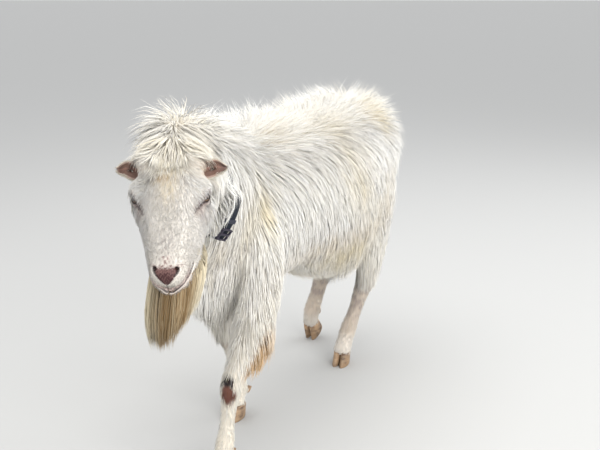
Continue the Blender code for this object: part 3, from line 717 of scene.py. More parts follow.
HIND_RIGHT = ring_table(
    (-80, 350, 660, 60, 105, 100),
    (-100, 350, 560, 62, 118, 118),
    (-106, 346, 470, 56, 118, 110),
    (-106, 364, 400, 47, 102, 86),
    (-104, 388, 340, 38, 78, 60),
    (-101, 404, 290, 30, 54, 40),
    (-101, 410, 252, 27, 38, 30, 2.3),
    (-105, 402, 218, 25, 28, 26),
    (-115, 388, 160, 22, 24, 23),
    (-125, 374, 108, 25, 28, 25),
    (-129, 373, 83, 24, 25, 23),
    (-133, 379, 62, 25, 25, 24),
    (-135, 381, 53, 23, 23, 23),
)
LEGS = {"foreleg_left": FORE_LEFT, "foreleg_right": FORE_RIGHT,
        "hindleg_left": HIND_LEFT, "hindleg_right": HIND_RIGHT}
LEG_TOP = {name: 0.42 if name.startswith("fore") else 0.41 for name in LEGS}


@dataclass(frozen=True)
class HeadPose:
    """Where the head is: the middle between its eyes, and its turn, dip and tilt."""

    at: Triple = (0.138, -0.607, 0.728)
    yaw: float = math.radians(34.0)
    dip: float = math.radians(31.5)
    tilt: float = math.radians(-0.6)

    @property
    def turn(self) -> Array:
        """Return the rotation, as a matrix."""
        turn = (Matrix.Rotation(self.yaw, 3, "Z") @ Matrix.Rotation(self.dip, 3, "X")
                @ Matrix.Rotation(self.tilt, 3, "Y"))
        return np.array(turn)

    def inside(self, points: Array) -> Array:
        """Return the points in the head's own frame."""
        return (points - np.array(self.at)) @ self.turn

    def outside(self, points: Array) -> Array:
        """Return points of the head's own frame in the animal's frame."""
        return np.asarray(points) @ self.turn.T + np.array(self.at)


HEAD = HeadPose()


def neck_line(y: Array, axis: int) -> Array:
    """Return one coordinate of the neck's middle line at places along the body."""
    return np.interp(y, [ring.at[1] for ring in NECK], [ring.at[axis] for ring in NECK])


def leg_line(name: str, heights: Array) -> Array:
    """Return the middle of the leg at each height."""
    rings = LEGS[name][::-1]
    z = [ring.at[2] for ring in rings]
    return np.stack([np.interp(heights, z, [ring.at[0] for ring in rings]),
                     np.interp(heights, z, [ring.at[1] for ring in rings]), heights], -1)


def round_leg(name: str, points: Array) -> tuple[Array, Array]:
    """Return the points' distances from the leg's middle, and how far behind and outside it they are."""
    off = points - leg_line(name, points[:, 2])
    out = off[:, 0] * (1 if name.endswith("left") else -1)
    return np.hypot(out, off[:, 1]), out * 0.60 + off[:, 1] * 0.80


def loft_mesh(name: str, rings: Sequence[Ring], sides: int = 36, steps: int = 7) -> Mesh:
    """Return a closed form through the rings."""
    path = catmull_rom([ring.at for ring in rings], steps)
    sizes = catmull_rom([(r.wide, r.high, r.low, r.square) for r in rings], steps)
    tangents = unit(np.gradient(path, axis=0))
    side = across(np.tile((1.0, 0.0, 0.0), (len(path), 1)), tangents)
    up = np.cross(side, tangents)
    angle = 2 * math.pi * np.arange(sides) / sides
    c, s = np.cos(angle), np.sin(angle)
    power = 2 / sizes[:, 3:4]
    over = np.sign(c) * np.abs(c) ** power * np.maximum(sizes[:, 0:1], 0.002)
    reach = np.maximum(np.where(s > 0, sizes[:, 1:2], sizes[:, 2:3]), 0.002)
    along = np.sign(s) * np.abs(s) ** power * reach
    points = (path[:, None] + side[:, None] * over[..., None] + up[:, None] * along[..., None])
    count = len(path)
    faces = [tuple(int(k) for k in face) for face in grid_faces(count, sides, True)]
    faces += [tuple(range(sides)), tuple(reversed(range((count - 1) * sides, count * sides)))]
    mesh = bpy.data.meshes.new(name)
    mesh.from_pydata(points.reshape(-1, 3).tolist(), [], faces)
    return mesh


def ball_mesh(name: str, centre: Place, radii: Place) -> Mesh:
    """Return an ellipsoid."""
    mesh = bpy.data.meshes.new(name)
    shape = bmesh.new()
    bmesh.ops.create_uvsphere(shape, u_segments=32, v_segments=16, radius=1.0)
    bmesh.ops.transform(shape, matrix=Matrix.Translation(centre) @ Matrix.Diagonal((*radii, 1.0)),
                        verts=shape.verts)
    shape.to_mesh(mesh)
    shape.free()
    return mesh


# ---------------------------------------------------------------- eyes


@dataclass(frozen=True)
class EyeSocket:
    """One eye's place, its way of looking, and the opening between its lids."""

    side: int
    centre: Triple = (0.0555, -0.003, 0.0025)
    radius: float = 0.0132
    looks: Triple = (0.74, -0.45, 0.50)
    lies: Triple = (-0.49, -0.86, 0.14)
    half_length: float = 0.0126
    upper: float = 0.0051
    lower: float = 0.0056

    def frame(self) -> tuple[Array, Array, Array, Array]:
        """Return the centre, the way forward along the opening, the way up and the way out."""
        mirror = np.array((self.side, 1.0, 1.0))
        out = unit(np.array(self.looks))
        along = across(np.array([self.lies]), out[None])[0]
        up = np.cross(out, along)
        if up[2] < 0:
            up = -up
        return np.array(self.centre) * mirror, along * mirror, up * mirror, out * mirror

    def half_height(self, along: Array, rise: Array) -> Array:
        """Return the opening's half height at a place along it, on the side of rise."""
        t = np.clip(1 - (along / self.half_length) ** 2, 0.0, 1.0) ** 0.85
        return t * np.where(rise > 0, self.upper, self.lower)

    def beyond(self, points: Array) -> tuple[Array, Array, Array]:
        """Return how far points of the head's frame lie past the rim of the opening.

        Returns:
            The distance (negative inside the opening), the height over the eye's middle, and
            how far out along the eye's look they lie.
        """
        centre, along, up, out = self.frame()
        o = points - centre
        a, w, q = o @ along, o @ up, o @ out
        past = np.abs(w) - self.half_height(a, w)
        ends = np.abs(a) - self.half_length
        gap = np.where(ends > 0, np.hypot(ends, w), past)
        return gap, w, q

    def rim(self, count: int, lift: float) -> tuple[Array, Array]:
        """Return points round the opening, lift off the eyeball, and which are on the upper lid."""
        centre, along, up, out = self.frame()
        angle = 2 * math.pi * np.arange(count) / count
        a = self.half_length * np.cos(angle)
        w = self.half_height(a, np.sin(angle)) * np.sign(np.sin(angle))
        q = np.sqrt(np.maximum((self.radius + lift) ** 2 - a ** 2 - w ** 2, 1e-8))
        return centre + a[:, None] * along + w[:, None] * up + q[:, None] * out, np.sin(angle) > 0


@dataclass(frozen=True)
class Eyeball:
    """A fine eyeball with an amber iris and the goat's level, slot-shaped pupil."""

    socket: EyeSocket
    iris: float = 0.0066
    pupil: tuple[float, float] = (0.0046, 0.0014)
    rings: int = 44
    segments: int = 64

    def build(self, material: Finish) -> Thing:
        """Build the eye and return it."""
        centre, along, up, out = self.socket.frame()
        polar = np.linspace(0.0, math.pi, self.rings)
        angle = 2 * math.pi * np.arange(self.segments) / self.segments
        radius = self.socket.radius * (1 + 0.05 * bell(polar, 0.0, 0.42) - 0.04)
        a = np.sin(polar)[:, None] * np.cos(angle) * radius[:, None]
        w = np.sin(polar)[:, None] * np.sin(angle) * radius[:, None]
        q = np.cos(polar)[:, None] * radius[:, None] + 0 * a
        local = (a[..., None] * along + w[..., None] * up + q[..., None] * out).reshape(-1, 3) + centre
        flat_a, flat_w, flat_q = a.ravel(), w.ravel(), q.ravel()
        spread = np.hypot(flat_a, flat_w)
        turn = np.tile(angle, self.rings)
        fibre = 0.5 + 0.5 * np.sin(turn * 29 + 3 * np.sin(turn * 7))
        iris = np.array((0.115, 0.058, 0.024)) * (0.65 + 0.5 * fibre[:, None])
        iris = iris * (1.0 - 0.6 * ease(spread, 0.0048, self.iris)[:, None])
        white = np.tile((0.085, 0.050, 0.040), (len(local), 1))
        tone = white + (iris - white) * (ease(spread, self.iris + 0.0005, self.iris - 0.0003)
                                         * (flat_q > 0))[:, None]
        slot = (np.abs(flat_a) / self.pupil[0]) ** 4 + (np.abs(flat_w) / self.pupil[1]) ** 2
        tone = tone * (1 - 0.97 * (ease(slot, 1.25, 0.8) * (flat_q > 0)))[:, None]
        faces = to_tris(grid_faces(self.rings, self.segments, True))
        name = "eye_left" if self.socket.side > 0 else "eye_right"
        if self.socket.side < 0:
            faces = faces[:, ::-1]
        keep = np.array([len({tuple(np.round(local[k], 7)) for k in face}) == 3 for face in faces])
        return Piece(name + "_ball", Slot.EYE, HEAD.outside(local), faces[keep][:, ::-1], material, tone,
                     replaced=(name,)).place()


SOCKETS = (EyeSocket(1), EyeSocket(-1))


# ---------------------------------------------------------------- markings and painted shade


@dataclass(frozen=True)
class MarkingsAndShade:
    """The colours of coat and skin by place, shared by both: the markings, and painted shade on the face,
    round the eyes, in the creases and along the lower barrel.

    A patch is a colour's name, a middle, radii and an amount. A row of crown, brow or sides is a
    colour, a middle and radii in the head's frame, an amount, and how much fine streaks add to
    it. A row of knee is a colour, its middle outwards and in height, its half width and height,
    and where the oval fades and is full.
    """

    white: Triple = (0.935, 0.920, 0.880)
    cream: Triple = (0.90, 0.845, 0.73)
    gold: Triple = (0.87, 0.765, 0.54)
    beige: Triple = (0.80, 0.70, 0.56)
    tan: Triple = (0.64, 0.385, 0.175)
    grey: Triple = (0.34, 0.32, 0.30)
    pad: Triple = (0.160, 0.082, 0.073)
    plum: Triple = (0.045, 0.013, 0.015)
    dark: Triple = (0.026, 0.018, 0.018)
    patches: Rows = (
        ("gold", (0.105, -0.285, 0.645), (0.045, 0.045, 0.060), 0.80),
        ("gold", (0.065, 0.345, 0.750), (0.060, 0.055, 0.035), 0.75),
        ("gold", (0.100, 0.090, 0.725), (0.060, 0.045, 0.035), 0.42),
        ("gold", (0.155, 0.125, 0.615), (0.050, 0.055, 0.050), 0.42),
        ("gold", (0.145, 0.085, 0.665), (0.050, 0.045, 0.040), 0.38),
        ("beige", (0.030, -0.140, 0.760), (0.050, 0.030, 0.040), 0.40),
        # painted shade: beige bands along the lower barrel, above the belly's fringe
        ("beige", (0.120, 0.060, 0.480), (0.090, 0.220, 0.050), 0.42),
        ("beige", (0.140, 0.050, 0.490), (0.060, 0.200, 0.030), 0.45),
        ("gold", (0.125, 0.130, 0.435), (0.070, 0.120, 0.038), 1.00),
        ("beige", (0.150, 0.330, 0.540), (0.050, 0.080, 0.070), 0.30),
        ("beige", (0.080, -0.375, 0.560), (0.060, 0.040, 0.070), 0.30),
        ("gold", (-0.110, -0.270, 0.630), (0.050, 0.050, 0.060), 0.45),
        ("gold", (-0.120, 0.200, 0.680), (0.060, 0.090, 0.050), 0.45),
        # painted shade along the lower barrel, as on the left side
        ("beige", (-0.120, 0.060, 0.470), (0.090, 0.220, 0.050), 0.40),
        ("grey", (0.112, -0.338, 0.392), (0.020, 0.024, 0.030), 0.42),
        ("grey", (0.092, -0.372, 0.345), (0.014, 0.018, 0.035), 0.22),
    )
    knee: Rows = (
        ((0.155, 0.064, 0.046), 0.003, 0.227, 0.016, 0.024, 1.10, 0.80),
        ((0.026, 0.018, 0.018), 0.002, 0.257, 0.015, 0.0125, 1.15, 0.85),
    )
    crown: Rows = (
        # a grey bridge: partly real grey hairs, partly painted shade on the face's front
        ((0.50, 0.485, 0.455), (0.002, -0.065, 0.030), (0.026, 0.062, 0.024), 0.60, 0.16),
        # tan forelock tips: partly real tan, partly painted shade under the bosses
        ((0.74, 0.64, 0.45), (0.0, -0.020, 0.048), (0.020, 0.030, 0.02), 0.45, 0.20),
        ((0.87, 0.765, 0.54), (0.000, 0.035, 0.058), (0.024, 0.034, 0.03), 0.65, 0.20),
    )
    brow: Rows = (
        # a darker tan spot: partly real tan, partly painted shade between the bosses
        ((0.58, 0.43, 0.26), (-0.008, 0.004, 0.050), (0.020, 0.012, 0.03), 0.55, 0.30),
        # painted shade on the far brow
        ((0.30, 0.29, 0.22), (-0.034, 0.006, 0.044), (0.011, 0.014, 0.02), 0.50, 0.25),
    )
    sides: Rows = (
        ((0.74, 0.48, 0.30), (0.052, 0.046, 0.044), (0.016, 0.018, 0.018), 0.55, 0.2),
        # painted shade: the crease of the upper lid, under the brow
        ((0.40, 0.33, 0.32), (0.053, -0.028, 0.004), (0.012, 0.013, 0.014), 0.75, 0.2),
        ((0.60, 0.54, 0.51), (0.060, -0.010, -0.016), (0.014, 0.018, 0.010), 0.55, 0.0),
    )

    @staticmethod
    def down_pad(local: Array) -> Array:
        """Return how far down the nose pad's slope points of the head's frame lie, in metres."""
        return (local[:, 1] + 0.160) * -0.436 + (local[:, 2] - 0.003) * -0.900

    def pad_shape(self, local: Array) -> Array:
        """Return how far inside the nose pad each point of the head's frame is, in metres."""
        outline = np.array(((-0.0030, -0.002), (-0.0016, 0.0120), (0.0, 0.0192), (0.0022, 0.0220),
                            (0.0060, 0.0212), (0.0100, 0.0192), (0.0150, 0.0160), (0.0200, 0.0122),
                            (0.0250, 0.0078), (0.0290, 0.0042), (0.0325, -0.001)))
        half = np.interp(self.down_pad(local), *outline.T)
        return np.where(local[:, 1] < -0.140, half - np.abs(local[:, 0]), -0.02)

    def mouth_line(self, local: Array) -> tuple[Array, Array]:
        """Return each point's distance over (or, negative, under) the mouth line, and where it runs."""
        mirrored = folded(local - np.array((0.002, 0.0, 0.0)))
        path = np.array(((0.0, -0.1670, -0.0530), (0.0056, -0.1678, -0.0524), (0.0161, -0.1652, -0.0447),
                         (0.0213, -0.1626, -0.0415), (0.0264, -0.1569, -0.0385), (0.0310, -0.1467, -0.0377),
                         (0.0340, -0.1375, -0.0376), (0.0368, -0.1267, -0.0360), (0.0385, -0.1180, -0.0350)))
        gap, place = path_distance(mirrored, path)
        height = np.interp(place, np.linspace(0, 1, len(path)), path[:, 2])
        return np.where(mirrored[:, 2] > height, gap, -gap), ease(local[:, 1], -0.108, -0.116)

    def nostril(self, local: Array) -> tuple[Array, Array]:
        """Return the distance from the nostril's slit on either side, and the place along it."""
        flat = np.stack([np.abs(local[:, 0]), self.down_pad(local)], -1)
        path = ((0.0176, 0.0030), (0.0200, 0.0042), (0.0203, 0.0070), (0.0180, 0.0105), (0.0155, 0.0125))
        gap, place = path_distance(flat, path)
        return np.where(local[:, 1] < -0.140, gap, 0.05), place

    def tear_line(self, local: Array) -> tuple[Array, Array]:
        """Return the distance, seen from the side, from the crease before each eye."""
        flat = local[:, 1:3]
        gap, place = path_distance(flat, ((-0.0175, 0.0080), (-0.0290, 0.0105), (-0.0420, 0.0110)))
        return np.where(np.abs(local[:, 0]) > 0.030, gap, 0.05), place

    def tone(self, points: Array) -> Array:
        """Return the coat's colour at points of the animal's frame."""
        local = HEAD.inside(points)
        colour = np.tile(self.white, (len(points), 1))

        def paint(target: Place, weight: Array) -> None:
            """Mix the target colour in by the weight."""
            colour[:] += (np.asarray(target) - colour) * np.clip(weight, 0, 1)[:, None]

        on_head = ease(local[:, 1], 0.10, 0.06) * ease(np.linalg.norm(local, axis=1), 0.24, 0.20)
        x, y, z = points.T
        warm = Waves(11, 0.30, 3)(points)[:, 0]
        paint(self.cream, 0.14 + 0.26 * warm)
        streaks = Waves(12, 0.07, 2)(points * np.array((1.0, 1.0, 0.3)))[:, 0]
        paint(self.cream, ease(streaks, 0.35, 1.0) * 0.35)
        for name, centre, radii, amount in self.patches:
            paint(getattr(self, name), blob(points, centre, radii) * amount * (1 + 0.35 * streaks))
        paint(self.cream, ease(z, 0.47, 0.36) * 0.50)
        self.legs(points, paint)
        self.face(local, on_head, paint)
        return colour

    def legs(self, points: Array, paint: Callable[[Place, Array], None]) -> None:
        """Paint the markings of the legs."""
        x, y, z = points.T
        mottle = Waves(19, 0.030, 3)(points)[:, 0]
        for name, amount in (("foreleg_left", 1.0), ("foreleg_right", 0.45)):
            gap, behind = round_leg(name, points)
            band = ease(z, 0.41, 0.33) * ease(z, 0.245, 0.275)
            paint(self.tan, ease(gap, 0.11, 0.07) * band * ease(behind, -0.002, 0.020)
                  * (0.50 + 0.42 * amount))
            knee = leg_line(name, np.array([0.240]))[0]
            front = ease(y - knee[1], -0.008, -0.016) * ease(np.abs(x - knee[0]), 0.05, 0.04)
            for colour, over, high, wide, tall, outer, inner in self.knee:
                oval = np.hypot((x - knee[0] - over) / wide, (z - high) / tall) + 0.10 * mottle
                paint(colour, front * ease(oval, outer, inner) * amount)
        for name in ("hindleg_left", "hindleg_right"):
            near = ease(round_leg(name, points)[0], 0.08, 0.06)
            paint((0.62, 0.51, 0.42), near * ease(z, 0.30, 0.22) * 0.62)
            paint((0.34, 0.27, 0.27), near * ease(z, 0.31, 0.25) * ease(z, 0.12, 0.18)
                  * ease(mottle, 0.1, 0.7) * 0.6)
            paint(self.white, near * ease(z, 0.115, 0.075) * 0.55)

    def face(self, local: Array, on_head: Array, paint: Callable[[Place, Array], None]) -> None:
        """Paint the markings of the head, with painted shade on the face, under the brows, round the eyes and
        in the creases.
        """
        flecks = Waves(15, 0.007, 3)(local)[:, 0]
        fine = Waves(16, 0.005, 3)(local * np.array((1.0, 0.18, 1.0)))[:, 0]
        mirrored = folded(local)
        ly, lz = local[:, 1], local[:, 2]
        # painted shade: the face forward of the poll made greyer than the coat
        paint((0.722, 0.709, 0.682), on_head * 0.90 * ease(ly, 0.045, 0.0))
        for colour, place, radii, amount, grain in self.crown:
            paint(colour, on_head * blob(local, place, radii) * (amount + grain * fine))
        paint(self.gold, blob(local, (0.004, 0.095, 0.045), (0.055, 0.050, 0.045)) * (0.40 + 0.20 * fine))
        for colour, place, radii, amount, grain in self.brow:
            paint(colour, on_head * blob(local, place, radii) * (amount + grain * fine))
        streak = blob(mirrored, (0.030, 0.006, 0.047), (0.012, 0.030, 0.018)) * ease(fine, 0.0, 0.6)
        paint((0.27, 0.24, 0.24), on_head * streak * 0.55)
        for colour, place, radii, amount, grain in self.sides:
            paint(colour, on_head * blob(mirrored, place, radii) * (amount + grain * fine))
        waves = np.sin((ly * 0.8 + lz * 0.6) * 1150 + 2.5 * flecks)
        paint((0.62, 0.60, 0.58), on_head * blob(mirrored, (0.050, -0.060, -0.012), (0.016, 0.035, 0.024))
              * ease(waves, 0.2, 1.0) * 0.45)
        paint((0.34, 0.30, 0.295), on_head * blob(local, (0.0, -0.118, 0.014), (0.013, 0.030, 0.012))
              * ease(fine + 0.3 * flecks, -0.3, 0.8) * 0.60)
        pad, down = self.pad_shape(local), self.down_pad(local)
        paint((0.50, 0.38, 0.36), on_head * (ease(pad, -0.016, -0.001) * ease(down, 0.006, -0.001))
              * (0.42 + 0.35 * flecks))
        paint((0.22, 0.16, 0.16), on_head * ease(pad, -0.020, -0.002) * ease(flecks, 0.2, 1.0)
              * ease(down, 0.020, 0.0) * 0.60)
        over_mouth, runs = self.mouth_line(local)
        lips = runs * ease(ly, -0.125, -0.150) * bell(over_mouth, 0.005, 0.009)
        paint((0.66, 0.48, 0.46), on_head * lips * 0.60)
        paint((0.10, 0.07, 0.075), on_head * runs * ease(ly, -0.135, -0.155) * ease(flecks, 0.45, 0.9)
              * ease(over_mouth, -0.001, 0.002) * ease(over_mouth, 0.020, 0.008) * 0.85)
        for socket in SOCKETS:
            gap, rise, out = socket.beyond(local)
            near = on_head * ease(out, -0.002, 0.004)
            above = ease(rise, 0.000, 0.004)
            # painted shade under the brow, over the upper lid
            paint((0.36, 0.30, 0.30), near * above * ease(gap, 0.0170, 0.0090) * (0.50 + 0.15 * fine))
            # grey round the eye: partly the skin's own tone, partly painted shade
            paint((0.33, 0.26, 0.255), near * ease(gap, 0.0110, 0.0030) * (1 - 0.45 * above) * 0.62)
            paint(self.dark, near * ease(gap, 0.0046 - 0.0010 * above, 0.0016))
        tear, place = self.tear_line(local)
        # painted shade in the crease before the eye
        paint((0.32, 0.26, 0.25), on_head * ease(tear, 0.012, 0.003) * (1 - 0.4 * place) * 0.80)
        paint(self.dark, on_head * ease(tear, 0.0046, 0.0018) * (1 - 0.45 * place))

    def bare(self, points: Array) -> Array:
        """Return 1 where the skin is bare: nose pad, lips and the lids' rims."""
        local = HEAD.inside(points)
        pad = ease(self.pad_shape(local), -0.0008, 0.0008)
        over_mouth, runs = self.mouth_line(local)
        lip = runs * ease(over_mouth, 0.0050, 0.0030) * ease(over_mouth, -0.0040, -0.0025)
        found = np.maximum(pad, lip)
        for socket in SOCKETS:
            gap, _, out = socket.beyond(local)
            found = np.maximum(found, ease(gap, 0.0045, 0.0030) * ease(out, -0.002, 0.003))
        for name in ("foreleg_left", "foreleg_right"):
            knee = leg_line(name, np.array([0.238]))[0] + np.array((0.003, -0.027, 0.0))
            found = np.maximum(found, ease(blob(points, tuple(knee), (0.016, 0.016, 0.026)), 0.35, 0.7) * 0.9)
        return found

    def skin(self, points: Array) -> Array:
        """Return the skin's colour: the coat's, with pad and lips added, and painted shade in the nostrils
        and along the mouth line.
        """
        local = HEAD.inside(points)
        colour = self.tone(points) * np.array((0.95, 0.92, 0.88))
        down = self.down_pad(local)
        speck = 0.5 + 0.5 * Waves(17, 0.0036, 3)(local)
        pad = (ease(self.pad_shape(local) + 0.0026 * (speck[:, 0] - 0.5), -0.0018, 0.0018)
               * ease(down + 0.0016 * (speck[:, 0] - 0.5), -0.0034, 0.0040))
        low = ease(down - 0.25 * np.abs(local[:, 0]), 0.002, 0.015)[:, None]
        base = np.array(self.pad) + (np.array(self.plum) - np.array(self.pad)) * np.clip(
            low * 0.70 + 1.05 * (speck - 0.36), 0, 1)
        colour += (base - colour) * pad[:, None]
        # painted shade: near black in the nostril slits
        gap, place = self.nostril(local)
        hole = ease(gap, 0.0036, 0.0013)[:, None] * (1 - 0.45 * place[:, None])
        colour += (np.array((0.012, 0.006, 0.007)) - colour) * hole
        # painted shade: a dark line where the lips meet
        over_mouth, runs = self.mouth_line(local)
        line = (runs * ease(np.abs(over_mouth), 0.0034, 0.0018))[:, None]
        colour += (np.array((0.035, 0.028, 0.030)) - colour) * line
        return colour


MARKINGS_AND_SHADE = MarkingsAndShade()


# ---------------------------------------------------------------- skin


@dataclass
class Skin:
    """One skin over head, neck, trunk, tail and legs, under the coat by its depth.

    The head's bumps are rows of a name, a middle and radii in its own frame: pairs on both
    sides, and single ones. A hollow is a push outwards, a middle and radii, on both sides.
    """

    voxel: float = 0.008
    pairs: Rows = (
        ("brow", (0.054, 0.006, 0.016), (0.0185, 0.027, 0.0145)),
        ("boss", (0.030, 0.044, 0.040), (0.025, 0.027, 0.020)),
        ("cheek", (0.040, 0.006, -0.062), (0.022, 0.038, 0.034)),
        ("nose_wing", (0.0155, -0.1585, -0.010), (0.0105, 0.0115, 0.0120)),
        ("upper_lip", (0.0145, -0.1575, -0.0325), (0.0135, 0.0125, 0.0105)),
    )
    single: Rows = (
        ("chin", (0.004, -0.1530, -0.0570), (0.0215, 0.0175, 0.0130)),
        ("poll", (0.000, 0.085, 0.010), (0.050, 0.050, 0.046)),
        ("nape", (0.000, 0.125, 0.002), (0.046, 0.060, 0.046)),
    )
    hollows: Rows = (
        (-0.0035, (0.047, -0.062, 0.004), (0.014, 0.030, 0.014)),
        (-0.0022, (0.046, -0.028, 0.018), (0.012, 0.014, 0.012)),
        (0.0018, (0.030, -0.075, 0.016), (0.007, 0.040, 0.008)),
    )
    points: Array | None = None
    tris: Array | None = None
    normals: Array | None = None

    def forms(self) -> list[Mesh]:
        """Return the lofted forms, with the coat's depth taken off."""
        meshes = [
            loft_mesh("trunk", [r.thinned(0.026, 0.024, 0.020) for r in TRUNK]),
            loft_mesh("neck", [r.thinned(0.028, 0.026, 0.030) for r in NECK]),
            loft_mesh("tail", [r.thinned(0.014, 0.009, 0.009) for r in TAIL]),
        ]
        for name, leg in LEGS.items():
            thin = []
            hind = name.startswith("hind")
            depths = ((0.0022, 0.007, 0.012, 0.017, 0.020, 0.022) if hind else
                      (0.0050, 0.006, 0.008, 0.011, 0.016, 0.022))
            for ring in leg:
                depth = float(np.interp(ring.at[2], (0.24, 0.27, 0.30, 0.36, 0.42, 0.52), depths))
                thin.append(ring.thinned(depth * 0.8, depth * (1.5 if hind else 1.0), depth))
            meshes.append(loft_mesh(name, thin))
            for place in ("inner", "outer"):
                claw = np.array([v.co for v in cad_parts[f"{name}_dewclaw_{place}"].data.vertices])
                claw = claw.mean(axis=0) - SHIFT
                line = leg_line(name, claw[2:])[0]
                root = line + (claw - line) * 0.68 + np.array((0.0, 0.0, 0.004))
                meshes.append(ball_mesh("fetlock", tuple(root), (0.0098, 0.0115, 0.0130)))
        head = []
        for form in (SKULL, JAW):
            depths = [float(np.interp(ring.at[1], (-0.12, -0.05, 0.0, 0.05), (0.0012, 0.0025, 0.0035, 0.006)))
                      for ring in form]
            head.append(loft_mesh("head", [ring.thinned(d * 0.7, d, d) for ring, d in zip(form, depths)]))
        for side in (-1, 1):
            head += [ball_mesh(name, (side * x, y, z), radii) for name, (x, y, z), radii in self.pairs]
        head += [ball_mesh(name, centre, radii) for name, centre, radii in self.single]
        place = Matrix.Translation(HEAD.at) @ Matrix(HEAD.turn.tolist()).to_4x4()
        for mesh in head:
            mesh.transform(place)
        return meshes + head

    def remeshed(self) -> bmesh.types.BMesh:
        """Return the forms as one closed surface."""
        shape = bmesh.new()
        for mesh in self.forms():
            shape.from_mesh(mesh)
            bpy.data.meshes.remove(mesh)
        bmesh.ops.recalc_face_normals(shape, faces=shape.faces)
        whole = bpy.data.meshes.new("forms")
        shape.to_mesh(whole)
        shape.free()
        thing = link("forms", whole)
        remesh = thing.modifiers.new("one", "REMESH")
        remesh.mode = "VOXEL"
        remesh.voxel_size = self.voxel
        graph = bpy.context.evaluated_depsgraph_get()
        result = bmesh.new()
        result.from_mesh(bpy.data.meshes.new_from_object(thing.evaluated_get(graph)))
        bpy.data.objects.remove(thing, do_unlink=True)
        return result

    @staticmethod
    def relax(shape: bmesh.types.BMesh, test: Callable[[Array], Array], rounds: int) -> None:
        """Even out the part of the surface that passes the test."""
        points = np.array([v.co for v in shape.verts])
        edges = np.array([(e.verts[0].index, e.verts[1].index) for e in shape.edges])
        weight = test(points)[:, None] * 0.6
        count = np.bincount(edges.ravel(), minlength=len(points))[:, None]
        for turn in range(2 * rounds):
            total = np.zeros_like(points)
            for axis in range(3):
                total[:, axis] += np.bincount(edges[:, 0], points[edges[:, 1], axis], len(points))
                total[:, axis] += np.bincount(edges[:, 1], points[edges[:, 0], axis], len(points))
            step = (total / np.maximum(count, 1) - points) * weight
            points += step if turn % 2 == 0 else -0.9 * step
        for vertex, point in zip(shape.verts, points):
            vertex.co = point

    @staticmethod
    def refine(shape: bmesh.types.BMesh, test: Callable[[Array], Array]) -> None:
        """Halve the faces of the part that passes the test."""
        shape.verts.index_update()
        inside = test(np.array([v.co for v in shape.verts])) > 0.5
        edges = [e for e in shape.edges if inside[e.verts[0].index] and inside[e.verts[1].index]]
        bmesh.ops.subdivide_edges(shape, edges=edges, cuts=1, use_grid_fill=True)
        shape.verts.index_update()

    @staticmethod
    def on_head(points: Array) -> Array:
        """Return 1 on the head, 0 elsewhere."""
        local = HEAD.inside(points)
        return ((local[:, 1] < 0.070) & (local[:, 1] > -0.2) & (np.abs(local[:, 0]) < 0.10)
                & (local[:, 2] > -0.125)).astype(float)

    @staticmethod
    def on_detail(points: Array) -> Array:
        """Return 1 on the muzzle and round the eyes."""
        local = HEAD.inside(points)
        found = (local[:, 1] < -0.112) & (local[:, 1] > -0.2) & (local[:, 2] > -0.075)
        for socket in SOCKETS:
            found |= np.linalg.norm(local - socket.frame()[0], axis=1) < 0.0235
        return found.astype(float)

    @staticmethod
    def on_legs(points: Array) -> Array:
        """Return 1 on the lower legs."""
        return (points[:, 2] < 0.265).astype(float)

    def carve(self, points: Array, normals: Array) -> Array:
        """Return the head's points with nose, mouth, lids and folds worked in."""
        local = HEAD.inside(points)
        lx, ly, lz = local.T
        out = normals @ HEAD.turn
        head = ease(ly, 0.075, 0.05) * ease(np.linalg.norm(local, axis=1), 0.23, 0.21)
        push = np.zeros(len(points))
        for amount, place, radii in self.hollows:
            push += amount * blob(folded(local), place, radii)
        push -= 0.0014 * blob(local, (0.0, -0.10, 0.026), (0.012, 0.030, 0.012))
        push -= 0.0030 * blob(local, (0.0, 0.036, 0.062), (0.009, 0.030, 0.02))
        pad = MARKINGS_AND_SHADE.pad_shape(local)
        lower = ease(MARKINGS_AND_SHADE.down_pad(local), 0.0030, 0.0080)
        push += 0.0010 * ease(pad, -0.0015, 0.0015) * lower
        push -= 0.0008 * bell(pad, -0.0012, 0.0009) * lower
        front = ease(ly, -0.150, -0.160)
        push -= 0.0020 * front * bell(lx, 0.0, 0.0012) * ease(lz, -0.018, -0.026)
        push -= 0.0007 * front * bell(lx, 0.0, 0.0010) * ease(lz, -0.002, -0.012)
        gap, place = MARKINGS_AND_SHADE.nostril(local)
        push -= (0.0080 * bell(gap, 0.0, 0.0023 - 0.0009 * place) * (1 - place) ** 0.6
                 + 0.0008 * bell(gap, 0.0, 0.0012))
        push += 0.0012 * bell(gap, 0.0036, 0.0016) * (1 - place)
        over_mouth, runs = MARKINGS_AND_SHADE.mouth_line(local)
        push -= 0.0046 * runs * bell(over_mouth, 0.0, 0.0014)
        push += 0.0012 * runs * bell(np.abs(over_mouth), 0.0046, 0.0022)
        tear, place = MARKINGS_AND_SHADE.tear_line(local)
        push -= 0.0020 * bell(tear, 0.0, 0.0011) * (1 - 0.7 * place) * head
        push += 0.0010 * bell(tear, 0.0034, 0.0016) * (1 - 0.7 * place) * head
        for i in range(3):
            path = ((-0.006 - 0.004 * i, -0.0150 - 0.0034 * i), (-0.018 - 0.003 * i, -0.0120 - 0.0036 * i),
                    (-0.030 - 0.002 * i, -0.0060 - 0.0042 * i))
            fold, _ = path_distance(local[:, 1:3], path)
            push -= 0.0007 * bell(fold, 0.0, 0.0010) * (np.abs(lx) > 0.035)
        local = local + out * (push * head)[:, None]
        for socket in SOCKETS:
            local = self.lid(local, socket)
        return HEAD.outside(local)

